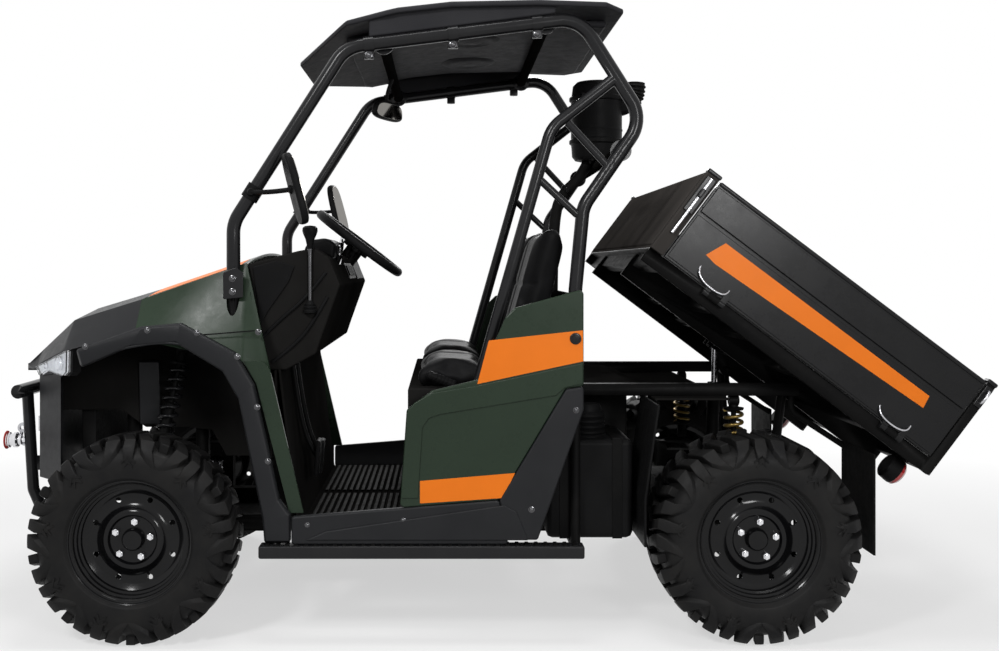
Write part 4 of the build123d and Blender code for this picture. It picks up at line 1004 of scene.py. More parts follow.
CHEEK_RIDGES = [
    [(-588, -574, 952), (-530, -576, 1010), (-450, -576, 1075), (-385, -574, 1160)],
    [(-560, -574, 868), (-490, -576, 920), (-430, -576, 990), (-380, -574, 1080)],
]
SWITCHES = (-115, -65, -15, 35, 85)
PEDALS = [(-370, 34, 470), (-265, 26, 455)]  # side, half width, height of the pad's foot
GAUGE_BEZEL = [(0, 0), (0, 47), (6, 49), (10, 46), (8, 41), (3, 40), (3, 0)]
BRAKE_PLATE = [(60, 740), (130, 740), (116, 792), (82, 792)]
BRAKE_GROOVES = 6


def on_dash(y, up):
    """A place on the dashboard's rear face, from its middle line."""
    station, height = DASH_MIDDLE
    return at(station - DASH_DRAW, y, height) + DASH_RISE * up * MM


def dash_plate(name, sides, rise, thickness, edge):
    """A rounded plate that lies on the dashboard's rear face."""
    start, end = sides
    corners = [on_dash(start, -rise), on_dash(end, -rise), on_dash(end, rise), on_dash(start, rise)]
    return round_edges(slab_piece(name, corners, DASH_FACE * thickness * MM), edge, 3)


class VEHICLE_OT_controls(bpy.types.Operator):
    """Makes the levers, the pedals and the fittings of the dashboard"""

    bl_idname = "vehicle.controls"
    bl_label = "Controls"

    def execute(self, context):
        stick = turned_at("stick", STICK, LEVER_FOOT, UPWARDS, 20)
        boot = turned_at("boot", BOOT, LEVER_FOOT, UPWARDS, 28)
        knob = turned_at("knob", KNOB, LEVER_FOOT, UPWARDS, 32)
        finish_piece(joined("gear_knob_and_boot", [boot, knob]), "cab", 40, ["gear_lever"])
        finish_piece(stick, "dark_steel")
        shield = profile_piece("leg_shield", LEG_SHIELD, (-572, 572), 0.002)
        finish_piece(shield, "liner")
        finish_piece(joined("dash_fittings", self.dash_fittings() + self.pedals()), "cab")
        bezel = turned_at("bezel", GAUGE_BEZEL, at(-366, -330, 1232), (0.99, 0, -0.14), 48)
        finish_piece(bezel, "chrome")
        plate = profile_piece("brake_plate", BRAKE_PLATE, (-590, -585.6), 0.002)
        finish_piece(joined("hand_brake", [self.brake_grip(), plate]), "cab", 35)
        return {"FINISHED"}

    def dash_fittings(self):
        """The binnacle, the glove box lid, the switches, the grab bar and the cheeks with their ridges."""
        cheek = profile_piece("cheek", CHEEK, (-574, -580), 0.004)
        ridges = [pipe_piece("ridge", ridge, 0.006) for ridge in CHEEK_RIDGES]
        return [
            profile_piece("binnacle", BINNACLE, (-470, -190), 0.014, 3),
            dash_plate("glove_lid", (170, 500), 34, 5, 0.004),
            dash_plate("switch_row", (-150, 130), 30, 3, 0.002),
            pipe_piece("grab_bar", GRAB_BAR, 0.011),
            both_sides("dash_cheeks", [cheek] + ridges),
        ] + [dash_plate("rocker", (y - 15, y + 15), 20, 8, 0.003) for y in SWITCHES]

    def pedals(self):
        """The two pedals, each a bent arm and a pad."""
        pieces = []
        for y, width, low in PEDALS:
            arm = [(-520, y, 850), (-500, y, 700), (-470, y, 580), (-438, y, low + 60)]
            pad = [(-446, low), (-432, low - 4), (-422, low + 116), (-436, low + 120)]
            pieces.append(pipe_piece("pedal_arm", arm, 0.008))
            pieces.append(profile_piece("pedal_pad", pad, (y - width, y + width), 0.004))
        return pieces

    def brake_grip(self):
        """The hand brake's lever with its grooved grip."""
        start, end = at(96, -574, 768), at(-58, -574, 830)
        run = (end - start).length / MM
        section = [(0, 0), (0, 7), (0.4 * run, 7), (0.42 * run, 13)]
        for index in range(BRAKE_GROOVES):
            spot = (0.44 + 0.075 * index) * run
            section += [(spot, 15), (spot + 6, 15), (spot + 8, 13.4)]
        section += [(0.93 * run, 15), (0.97 * run, 12), (run, 6), (run, 0)]
        return turned_at("brake_grip", section, start, end - start, 24)


# Lamps
LAMP_OUTLINE = [  # station, side and height of the left lamp's corners
    (-1372, -450, 843), (-1218, -600, 909), (-1220, -598, 838), (-1236, -584, 824), (-1314, -510, 836),
    (-1354, -468, 815),
]
LAMP_INWARD = Vector((0.698, 0.716, 0))
BULBS = [(0.32, 11), (0.74, 24)]  # share along the lamp, radius
TAIL_PLACE = (350, -600, -12)
TAIL_HOUSING = [(-4, 0), (-4, 35), (2, 41), (28, 43), (36, 43), (38, 40), (36, 30), (36, 0)]
TAIL_GLASS = [(34, 0), (34, 41.5), (46, 41.5), (54, 34), (57, 18), (58, 0)]


class VEHICLE_OT_lamps(bpy.types.Operator):
    """Makes the headlamps with their reflectors and the tail lamps with their housings"""

    bl_idname = "vehicle.lamps"
    bl_label = "Lamps"

    def behind_lens(self, name, outline, size, depth):
        """A block of the lamp's outline at another size, some way behind the lens."""
        middle = sum(outline, Vector()) / len(outline)
        corners = [middle.lerp(corner, size) + LAMP_INWARD * depth for corner in outline]
        return slab_piece(name, corners, LAMP_INWARD * 0.03)

    def execute(self, context):
        outline = [at(*corner) for corner in LAMP_OUTLINE]
        lens = round_edges(slab_piece("lens", outline, LAMP_INWARD * 0.005), 0.002)
        core = self.behind_lens("core", outline, 0.93, 0.012)
        bezel = self.behind_lens("bezel", outline, 1.07, 0.02)
        bulbs = []
        for share, radius in BULBS:
            place = outline[0].lerp((outline[1] + outline[2]) / 2, share) - mm(0, 0, 3) + LAMP_INWARD * 0.012
            section = [
                (0, 0), (0, radius), (7, radius), (8, radius - 3), (2, radius * 0.5), (5, radius * 0.4),
                (6, 0),
            ]
            bulbs.append(turned_at("bulb", section, place, -LAMP_INWARD))
        finish_pair("headlamp_lenses", [lens], "lens", 35)
        # The reflectors' pale colour is a painted reflection.
        finish_pair("headlamp_reflectors", [core], "lamp_silver", 35, ["headlamps"])
        finish_pair("headlamp_bezels", [bezel], "cab", 35)
        finish_pair("headlamp_bulbs", bulbs, "chrome", 35)
        place = mm(*TAIL_PLACE)
        housing = moved(turned_at("tail_housing", TAIL_HOUSING, place, REARWARDS, 48), BED_FRAME)
        glass = moved(turned_at("tail_glass", TAIL_GLASS, place, REARWARDS, 48), BED_FRAME)
        finish_pair("tail_lamp_housings", [housing], "cab", 40, ["tail_lamps"], "bed")
        finish_pair("tail_lamp_glasses", [glass], "red_lens", body="bed")
        return {"FINISHED"}


# Stripes and fasteners
FILM = 0.0007
SIDE_SKIN = -700.2
SIDE_STRIPES = [
    [(137, 947), (431, 979), (432, 882), (101, 811)],
    [(-78, 508), (219, 533), (181, 455), (-78, 438)],
]
BED_STRIPE = [(-540, 160), (-512, 226), (278, 227), (285, 186), (-500, 154)]
BED_SKIN = -723.2
HOOD_STRIPE = [(-975, -300), (-665, -370), (-665, -535), (-975, -505)]
ABOVE_HOOD = 1300


class VEHICLE_OT_stripes(bpy.types.Operator):
    """Lays the orange stripes on hood, sides and bed"""

    bl_idname = "vehicle.stripes"
    bl_label = "Stripes"

    def execute(self, context):
        sides = (SIDE_SKIN, SIDE_SKIN - FILM / MM)
        panels = [profile_piece("side_stripe", outline, sides, 0.0) for outline in SIDE_STRIPES]
        finish_pair("side_stripes", panels, "orange", 30)
        corners = [mm(x, BED_SKIN, z) for x, z in BED_STRIPE]
        finish_bed_sides("bed_stripe", [slab_piece("bed_stripe", corners, (0, -FILM, 0))], "orange", 30)
        bare()
        bpy.ops.mesh.primitive_grid_add(x_subdivisions=48, y_subdivisions=16, size=1)
        strip = named("hood_stripe")
        first, second, third, fourth = [at(station, y, ABOVE_HOOD) for station, y in HOOD_STRIPE]
        for vertex in strip.data.vertices:
            along, across = vertex.co.x + 0.5, vertex.co.y + 0.5
            vertex.co = fourth.lerp(third, along).lerp(first.lerp(second, along), across)
        modify(
            strip, "SHRINKWRAP", target=bpy.data.objects["hood_dressed"], wrap_method="PROJECT",
            use_project_z=True, use_negative_direction=True, use_positive_direction=False, offset=FILM,
        )
        modify(strip, "SOLIDIFY", thickness=FILM, offset=0)
        finish_pair("hood_stripes", [strip], "orange", 30)
        return {"FINISHED"}


PANEL_RIM = [
    (-138, 454), (-118, 726), (-96, 752), (-40, 784), (101, 806), (431, 877), (431, 812), (376, 800),
    (347, 775), (-14, 716), (-50, 704), (-70, 676), (-84, 454),
]
SILL_PANEL = [(-436, 324), (-372, 352), (186, 434), (224, 414), (260, 324)]
ARCH_BEAD = [
    (-1141, 890), (-990, 929), (-848, 944), (-755, 912), (-654, 834), (-616, 704), (-566, 494), (-530, 375),
]
FENDER_SEAM = [(-800, 958), (-800, 962), (-600, 978), (-600, 974)]
PANEL_LOCK = [(0, 0), (0, 18), (3, 18), (4.5, 16), (4.5, 12), (2.5, 11), (3.5, 0)]
TRIM_BOLTS = [  # name, side, scale, then stations and heights
    ("arch_bolt", -700, 1.0, [(-1124, 928), (-930, 979), (-775, 971), (-649, 897), (-587, 739), (-553, 570)]),
    ("fender_bolt", -672, 1.0, [(-588, 972)]),
    ("trim_bolt", -706, 1.0, [(409, 730), (270, 420)]),
    ("sill_bolt", -704, 0.8, [(-430, 372), (-130, 386), (130, 396)]),
]


class VEHICLE_OT_fasteners(bpy.types.Operator):
    """Puts the bolts on the trims and sills, and the rims and locks on the side panels"""

    bl_idname = "vehicle.fasteners"
    bl_label = "Fasteners"

    def execute(self, context):
        heads = []
        for name, side, scale, spots in TRIM_BOLTS:
            heads.append(bolt_heads(name, [at(station, side, z) for station, z in spots], TO_LEFT, scale))
        finish_pair("trim_bolts", heads, "dark_steel")
        rim = profile_piece("rim", PANEL_RIM, (-698, -705), 0.0045, 3)
        finish_pair("side_panel_rims", [rim], "green", 35)
        panel = profile_piece("sill_panel", SILL_PANEL, (-702, -710), 0.006, 3)
        bead = pipe_piece("arch_bead", [(station, -691, z) for station, z in ARCH_BEAD], 0.0045)
        finish_pair("trim_reliefs", [panel, bead], "trim")
        seam = profile_piece("seam", FENDER_SEAM, (-671, -673), 0.0)
        finish_pair("fender_seams", [seam], "cab", 35)
        lock = turned_at("lock", PANEL_LOCK, at(408, -700.9, 953), TO_LEFT)
        finish_pair("panel_locks", [lock], "cage")
        return {"FINISHED"}


# Winch
WINCH_MIDDLE = at(-1436.3, 0, 600)
WINCH_FINS = range(-132, -64, 10)
ROPE_HALF = 46
ROPE_RADIUS = 0.0235
ROPE_WIRE = 0.003
ROPE_TURNS = 15
HOOK = [
    (-1500, -222, 600), (-1504, -222, 588), (-1506, -222, 566), (-1500, -222, 548), (-1488, -222, 548),
    (-1484, -222, 560),
]
HOOK_EYE = [(-6, 8), (-6, 16), (0, 18), (6, 16), (6, 8)]
STOP_PLACE = at(-1478, -242, 566)
ROPE_STOP = [
    (0, 0), (0, 9), (14, 9), (16, 17), (26, 17), (28, 24), (32, 27), (42, 27), (45, 21), (54, 21), (57, 27),
    (64, 25), (67, 10), (68, 0),
]
STOP_RING = [(67, 22), (67, 31), (68, 32), (70, 32), (71, 31), (71, 22)]


class VEHICLE_OT_winch(bpy.types.Operator):
    """Makes the winch with its drum of wire rope, its rollers, hook and rope stop"""

    bl_idname = "vehicle.winch"
    bl_label = "Winch"

    def case_section(self):
        """The finned motor, the drum between its cheeks and the gear case."""
        section = [(-150, 0), (-150, 24), (-146, 29), (-140, 31)]
        for spot in WINCH_FINS:
            section += [(spot, 34), (spot + 4, 34), (spot + 5, 31), (spot + 8, 31)]
        return section + [
            (-58, 35.5), (-50, 35.5), (-49, 20), (49, 20), (50, 35.5), (58, 35.5), (62, 33), (132, 33),
            (144, 29), (150, 22), (150, 0),
        ]

    def execute(self, context):
        case = turned_at("winch_case", self.case_section(), WINCH_MIDDLE, TO_RIGHT, 48)
        finish_piece(case, "alloy", 35, ["winch"])
        ends = WINCH_MIDDLE - mm(0, ROPE_HALF, 0), WINCH_MIDDLE + mm(0, ROPE_HALF, 0)
        finish_piece(coil_piece("rope", *ends, ROPE_RADIUS, ROPE_WIRE, ROPE_TURNS), "steel", 60)
        rollers = [
            rod_piece("roller", at(-1490, -62, z), at(-1490, 62, z), 0.008, 20, 0.002) for z in (584, 616)
        ]
        rollers += [
            rod_piece("post", at(-1490, y, 572), at(-1490, y, 628), 0.009, 20, 0.002) for y in (-68, 68)
        ]
        plate = box_piece("fairlead", at(-1482, -84, 566), at(-1476, 84, 634), 0.002)
        finish_piece(joined("winch_rollers", rollers + [plate]), "steel")
        hook = pipe_piece("hook", HOOK, 0.006)
        eye = turned_at("hook_eye", HOOK_EYE, at(-1500, -222, 606), TO_RIGHT, 28)
        finish_piece(joined("winch_hook", [hook, eye]), "steel", 50)
        stop = turned_at("rope_stop", ROPE_STOP, STOP_PLACE, -REARWARDS, 40)
        finish_piece(stop, "chrome", 35)
        ring = turned_at("rope_stop_ring", STOP_RING, STOP_PLACE, -REARWARDS, 48)
        finish_piece(ring, "red_strap", 30)
        return {"FINISHED"}


# Cage, roof and mirrors
RAIL = [(-318, 1881), (430, 1975)]
RAIL_SIDE = -610
PILLAR_SHOE = [(-706, 1074), (-642, 1080), (-642, 1160), (-668, 1176), (-706, 1160)]
CLAMP = [(-16, 22.4), (-16, 26), (16, 26), (16, 22.4)]
CLAMP_SHARES = (0.1, 0.46, 0.82)
FLANGE = [(0, 18.2), (0, 34), (5, 34), (8, 24), (14, 20), (14, 18.2)]
FLANGE_SPOTS = [(-198, 1896), (325, 1962), (568, 1552)]
FLANGE_CIRCLE = 27
FLANGE_TURNS = (0.8, 2.4, 3.9, 5.5)
ROOF_LINE = [(-330, 1962), (-150, 2003), (20, 2022), (300, 2028), (540, 2020)]
RIB_SIDES = [(-195, -105), (-435, -345)]
ROOF_POD = [
    (-6, 0), (-6, 118), (6, 112), (14, 92), (17, 74), (14, 66), (17, 54), (14, 44), (17, 30), (15, 0),
]


def roof_layer(name, above, below, sides, edge, segments=2):
    """A layer that follows the roof's line, from one height over it to another."""
    outline = [(s, z + above) for s, z in ROOF_LINE] + [(s, z + below) for s, z in ROOF_LINE[::-1]]
    return profile_piece(name, outline, sides, edge, segments)


class VEHICLE_OT_cage_fittings(bpy.types.Operator):
    """Makes the pillar shoes, the roof clamps, the tube flanges and the roof's ribs and liner"""

    bl_idname = "vehicle.cage_fittings"
    bl_label = "Cage and roof fittings"

    def execute(self, context):
        (start, low), (end, high) = RAIL
        along = at(end, 0, high) - at(start, 0, low)
        pieces = [profile_piece("shoe", PILLAR_SHOE, (-632.3, -639), 0.003)]
        bolts = [bolt_heads("shoe_bolt", [at(-676, -639, 1098), at(-676, -639, 1140)], TO_LEFT, 1.1)]
        for share in CLAMP_SHARES:
            place = at(start, RAIL_SIDE, low) + along * share
            pieces.append(turned_at("clamp", CLAMP, place, along))
            pieces.append(box_piece("clamp_ear", place + mm(-17, -9, -48), place + mm(17, 9, -22), 0.004))
            bolts.append(bolt_heads("clamp_bolt", [place + mm(0, -9, -36)], TO_LEFT, 1.2))
        for station, z in FLANGE_SPOTS:
            pieces.append(turned_at("flange", FLANGE, at(station, -587.6, z), TO_RIGHT, 36))
            rim = [
                at(station + FLANGE_CIRCLE * cos(turn), -587, z + FLANGE_CIRCLE * sin(turn))
                for turn in FLANGE_TURNS
            ]
            bolts.append(bolt_heads("flange_bolt", rim, TO_RIGHT, 0.6))
        finish_pair("cage_fittings", pieces, "cage")
        finish_pair("cage_bolts", bolts, "dark_steel")
        ribs = [roof_layer("rib", 4.5, -3, sides, 0.003) for sides in RIB_SIDES]
        finish_pair("roof_ribs", ribs, "roof", 35)
        liner = roof_layer("roof_liner", -18.3, -42.3, (-455, 455), 0.01, 3)
        pods = [turned_at("pod", ROOF_POD, at(95, y, 1988), (0.05, 0, -1), 56) for y in (-215, 215)]
        finish_piece(joined("roof_liner", [liner] + pods), "roof", 35)
        return {"FINISHED"}


MIRROR_STEPS = 32
MIRROR_ROUNDNESS = 0.62
MIRROR_TAPER = 0.12
MIRROR_LAYERS = [  # name, how much smaller, share of the depth at its back, back, front, edge
    ("shell", 0.0, -1.0, 0.0, 0.0, 0.008),
    ("glass", 0.009, 0.0, -0.001, 0.0018, 0.0008),
]
MIRROR_PILLAR = at(-616, -636, 1415)
MIRROR_ARM = [(-616, -636, 1415), (-585, -664, 1412), (-520, -690, 1414), (-478, -695, 1420)]
MIRROR_BALL = [(-14, 0), (-12, 9), (-4, 15), (6, 15), (12, 10), (14, 0)]
MIRROR_CLAMP = [(-24, 22.4), (-24, 28), (24, 28), (24, 22.4)]
MIRROR_LUG = [(-6, 0), (-6, 14), (4, 14), (10, 10), (10, 0)]
MIRROR_STALK = [(-198, 0, 1880), (-214, 0, 1840), (-220, 0, 1800), (-216, 0, 1775)]
PILLAR_LEAN = Vector((360, 0, 563))


class VEHICLE_OT_mirrors(bpy.types.Operator):
    """Makes the two side mirrors and the cabin mirror"""

    bl_idname = "vehicle.mirrors"
    bl_label = "Mirrors"

    def paddle(self, name, centre, half_width, half_height, depth, lean, turn_in):
        """A rounded mirror housing and its glass, leaned over and turned in towards the driver."""
        turn = Matrix.Translation(centre) @ Matrix.Rotation(turn_in, 4, "Z") @ Matrix.Rotation(lean, 4, "Y")
        layers = []
        for part, shrink, share, back, front, edge in MIRROR_LAYERS:
            back += share * depth
            corners = []
            for step in range(MIRROR_STEPS):
                across, up = cos(tau * step / MIRROR_STEPS), sin(tau * step / MIRROR_STEPS)
                y = abs(across) ** MIRROR_ROUNDNESS * (half_width - shrink) * (1 if across >= 0 else -1)
                z = abs(up) ** MIRROR_ROUNDNESS * (half_height - shrink) * (1 if up >= 0 else -1)
                corners.append((back, y * (1 - MIRROR_TAPER * z / half_height), z))
            piece = slab_piece(f"{name}_{part}", corners, (front - back, 0, 0))
            layers.append(moved(round_edges(piece, edge, 3), turn))
        return layers

    def execute(self, context):
        shell, glass = self.paddle(
            "side", at(-458, -695, 1425), 0.055, 0.115, 0.024, radians(-15), radians(18)
        )
        arm = pipe_piece("arm", MIRROR_ARM, 0.008)
        ball = turned_at("ball", MIRROR_BALL, at(-480, -695, 1420), REARWARDS, 24)
        clamp = turned_at("clamp", MIRROR_CLAMP, at(-616, -610, 1415), PILLAR_LEAN)
        lug = turned_at("lug", MIRROR_LUG, MIRROR_PILLAR, TO_LEFT, 24)
        cabin_shell, cabin_glass = self.paddle(
            "cabin", at(-206, 0, 1760), 0.11, 0.036, 0.02, radians(8), radians(-24)
        )
        stalk = pipe_piece("stalk", MIRROR_STALK, 0.007)
        housings = both_sides("housings", [shell, arm, ball, clamp, lug])
        housings = joined("mirror_housings", [housings, cabin_shell, stalk])
        finish_piece(housings, "cab", 35, ["mirrors"])
        glasses = joined("mirror_glasses", [both_sides("glasses", [glass]), cabin_glass])
        finish_piece(glasses, "mirror", 30)
        return {"FINISHED"}


# Air cleaner and the space behind the cab
CAN_FOOT = at(568, 0, 1570.5)
CAN = [
    (0, 0), (0, 62), (4, 80), (18, 91), (62, 94), (66, 100), (80, 100), (84, 95), (110, 95), (113, 97),
    (118, 97), (121, 95), (222, 95), (226, 100), (240, 100), (244, 93), (282, 88), (296, 74), (300, 50),
    (300, 0),
]
SPOUT = [(60, 0, 200), (105, 0, 206), (130, 0, 226)]
INTAKE = [(112, 0, 208), (136, 0, 232), (146, 0, 262), (148, 0, 296)]
OUTLET = [
    (560, 0, 1640), (548, 0, 1590), (503, 0, 1507), (440, 0, 1450), (413, 0, 1383), (404, 0, 1200),
    (402, 0, 1000), (404, 0, 860), (420, 0, 745),
]
HOSE_BAND = [(-7, 20), (-7, 23.5), (7, 23.5), (7, 20)]
HOSE_BANDS = [(at(540, 0, 1570), (0.5, 0, 0.87)), (at(455, 0, 1463), (0.75, 0, 0.66))]
CAN_BAND = [(-5, 99), (-5, 101.6), (5, 101.6), (5, 99)]
CAN_BANDS = (73, 233)
CLIP_CIRCLE = 103
CLIP_TURNS = (0.6, 2.5, 4.1)
STRAP_STATIONS = (385, 555)
STRAP_HALF = 16
NECK_RIBS = (8, 26, 44, 62)


class VEHICLE_OT_air_cleaner(bpy.types.Operator):
    """Makes the air cleaner with its hoses, and the straps and cap of the tank"""

    bl_idname = "vehicle.air_cleaner"
    bl_label = "Air cleaner and tank"

    def execute(self, context):
        can = turned_at("can", CAN, CAN_FOOT, UPWARDS, 56)
        spout = tube_piece("spout", [CAN_FOOT + mm(*place) for place in SPOUT], 0.036)
        finish_piece(joined("air_cleaner_can", [can, spout]), "cab", 35, ["air_cleaner"])
        intake = ribbed_hose("intake", [CAN_FOOT + mm(*place) for place in INTAKE], 0.034, 7)
        outlet = pipe_piece("outlet", OUTLET, 0.021)
        finish_piece(joined("air_ducts", [intake, outlet]), "rubber", 50)
        finish_piece(joined("bands_and_straps", self.bands() + self.straps()), "frame")
        section = [(-4, 0), (-4, 62), (4, 62)]
        for spot in NECK_RIBS:
            section += [(spot, 54), (spot + 4, 58), (spot + 10, 58), (spot + 14, 52)]
        section += [(82, 46), (92, 46), (104, 40), (108, 0)]
        finish_piece(turned_at("tank_neck", section, at(470, -500, 622), UPWARDS, 40), "cab", 35)
        return {"FINISHED"}

    def bands(self):
        """The hose's bands with their wings, and the can's bands with their clips."""
        pieces = []
        for place, way in HOSE_BANDS:
            pieces.append(turned_at("hose_band", HOSE_BAND, place, way))
            pieces.append(box_piece("wing", place + mm(-4, -48, -10), place + mm(4, -22, 10), 0.003))
        for spot in CAN_BANDS:
            pieces.append(turned_at("band", CAN_BAND, CAN_FOOT + mm(0, 0, spot), UPWARDS, 48))
            for turn in CLIP_TURNS:
                place = CAN_FOOT + mm(CLIP_CIRCLE * cos(turn), CLIP_CIRCLE * sin(turn), spot)
                pieces.append(box_piece("clip", place - mm(5, 5, 14), place + mm(5, 5, 14), 0.002))
        return pieces

    def straps(self):
        """The straps down the tank's side and over its top."""
        pieces = []
        for station in STRAP_STATIONS:
            start, end = station - STRAP_HALF, station + STRAP_HALF
            pieces.append(box_piece("strap", at(start, -593, 302), at(end, -590.2, 623.4), 0.001))
            pieces.append(box_piece("strap", at(start, -593, 621.2), at(end, -282, 624), 0.001))
        return pieces


ARCH_LINER = [
    (-1335, 800), (-1190, 905), (-1100, 932), (-900, 952), (-770, 940), (-640, 850), (-604, 640), (-600, 520),
    (-760, 520), (-810, 610), (-900, 620), (-1040, 620), (-1122, 680), (-1335, 680),
]
LINER_RIB = [(-1064, 850), (-990, 850), (-984, 630), (-1058, 630)]


class VEHICLE_OT_liners(bpy.types.Operator):
    """Makes the liners inside the front arches and the deck under the bed"""

    bl_idname = "vehicle.liners"
    bl_label = "Liners and deck"

    def execute(self, context):
        liner = profile_piece("arch_liner", ARCH_LINER, (-306, -300), 0.002)
        finish_pair("arch_liners", [liner], "liner")
        rib = profile_piece("liner_rib", LINER_RIB, (-318, -304), 0.006, 3)
        finish_pair("liner_ribs", [rib], "trim")
        deck = box_piece("rear_deck", at(690, -520, 738), at(935, 520, 745), 0.002)
        finish_piece(deck, "liner")
        return {"FINISHED"}


# Floor, steps and bed
def row_of(piece, count, step):
    """A row of copies of a piece, a step apart."""
    return modify(
        piece, "ARRAY", count=count, use_relative_offset=False, use_constant_offset=True,
        constant_offset_displace=step,
    )


class VEHICLE_OT_floor_grips(bpy.types.Operator):
    """Makes the ribbed floor mat, the grips of the step bars and the ribs of the bed's floor"""

    bl_idname = "vehicle.floor_grips"
    bl_label = "Floor and step grips"

    def execute(self, context):
        rib = box_piece("mat_rib", at(-452, 30, 329), at(-440, 552, 336), 0.002)
        finish_pair("floor_mat", [row_of(rib, 14, (0.0225, 0, 0))], "rubber", 35)
        rib = box_piece("step_rib", at(-560, -714, 306), at(-548, -668, 311.5), 0.0018)
        finish_pair("step_grips", [row_of(rib, 33, (0.03, 0, 0))], "frame", 35)
        rib = box_piece("bed_rib", mm(-655, -600, 75), mm(392, -560, 81), 0.0025)
        finish_piece(moved(row_of(rib, 11, (0, 0.116, 0)), BED_FRAME), "bed", 35, body="bed")
        return {"FINISHED"}


BED_HANDLES = [  # along the bed, across it and up, for the left side
    [
        (-531, -721, 122), (-530, -734, 104), (-500, -736, 86), (-445, -736, 84), (-416, -734, 96),
        (-414, -721, 114),
    ],
    [(174, -721, 112), (176, -734, 96), (205, -736, 84), (255, -736, 84), (286, -734, 98), (288, -721, 118)],
]
REAR_LOOP = [(414, -726, 350), (414, -742, 346), (414, -742, 306), (414, -726, 302)]
BOARD_FACE = [(-686, 84), (-693, 90), (-693, 360), (-686, 366)]
BOARD_HALF = 690
BOARD_WIDTH = 1.38
GATE_PULL = [
    (430, -70, 314), (452, -66, 314), (456, -40, 314), (456, 40, 314), (452, 66, 314), (430, 70, 314),
]


def bed_tube(name, places, radius):
    """A smooth tube near places in the bed's own directions in millimetres."""
    return tube_piece(name, [mm(*place) for place in places], radius)


class VEHICLE_OT_bed_fittings(bpy.types.Operator):
    """Makes the latches, post caps, wire handles, skins and rails of the bed and the fittings of its gate"""

    bl_idname = "vehicle.bed_fittings"
    bl_label = "Bed fittings"

    def execute(self, context):
        latches = [
            box_piece("latch_plate", mm(-684, -726, 232), mm(-650, -719.5, 362)),
            box_piece("post_cap", mm(-693, -724, 370), mm(-641, -690, 384), 0.005, 3),
            box_piece("rear_plate", mm(400, -726, 288), mm(427, -719.5, 362)),
            box_piece("rear_cap", mm(396, -724, 370), mm(431, -690, 384), 0.005, 3),
            box_piece("latch_grip", mm(-674, -742, 286), mm(-660, -728, 318), 0.004, 3),
        ]
        bars = [
            rod_piece("latch_bar", mm(-667, -730, 150), mm(-667, -730, 358), 0.0055, 20, 0.002),
            bed_tube("rear_loop", REAR_LOOP, 0.004),
        ]
        wires = [bed_tube("side_handle", handle, 0.003) for handle in BED_HANDLES]
        finish_bed_sides("side_handles", wires, "steel")
        for name, pieces, finish in (("bed_latches", latches, "bed"), ("bed_latch_bars", bars, "steel")):
            fitted = moved(joined(name, pieces), BED_FRAME)
            finish_pair(name, [fitted], finish, body="bed")
        # The headboard's face takes the board finish, whose brown-grey is painted sheen.
        corners = [mm(x, -BOARD_HALF, z) for x, z in BOARD_FACE]
        face = round_edges(slab_piece("headboard_face", corners, (0, BOARD_WIDTH, 0)), 0.006, 3)
        finish_piece(moved(face, BED_FRAME), "board", body="bed")
        skins = [
            box_piece("upper_skin", mm(-634, -724, 258), mm(388, -718, 352), 0.0025),
            box_piece("lower_skin", mm(-634, -723, 86), mm(388, -718, 246), 0.0025),
        ]
        finish_bed_sides("bed_side_skin", skins, "bed")
        rail = box_piece("bed_side_rail", mm(-637, -724, 356), mm(392, -692, 371), 0.006, 3)
        finish_bed_sides("bed_side_rail", [rail], "bed")
        gate = [
            box_piece("gate_plate", mm(427.5, -95, 300), mm(432, 95, 328), 0.002),
            bed_tube("gate_pull", GATE_PULL, 0.007),
            box_piece("gate_rail", mm(401, -685, 356), mm(432, 685, 371), 0.006, 3),
        ]
        fitted = moved(joined("gate_fittings", gate), BED_FRAME)
        finish_piece(fitted, "bed", body="tailgate")
        return {"FINISHED"}


# Stage
FLOOR_RADIUS = 30
FLOOR_DROP = 0.0005
FLOOR_ROUGHNESS = 0.8
FLOOR_SPECULAR = 0.1
SHADOW_SCALE = (0.2, 0.28, 0.2)
SHADOW_MOST = 0.42
SHADOW_FROM = 0.05
SHADOW_TO = 0.5
SENSOR_WIDTH = 36
CAMERA_SHIFT = (0.0546, -0.0596)
WORLD_FILL = 0.4
WHITE = (1, 1, 1, 1)
SOFTBOXES = [  # name, place, what it faces, size, watts
    ("overhead_softbox", (-0.2, -0.6, 4.6), (0, 0, 0.6), 1.8, 84),
    ("left_softbox", (-2.2, -4.0, 3.7), (-0.3, 0, 0.8), 0.9, 96),
    ("right_softbox", (1.5, -4.5, 1.9), (0.5, 0, 0.8), 1.0, 62),
    ("back_softbox", (0.5, 4.2, 3.2), (0, 0, 1.0), 1.0, 50),
]


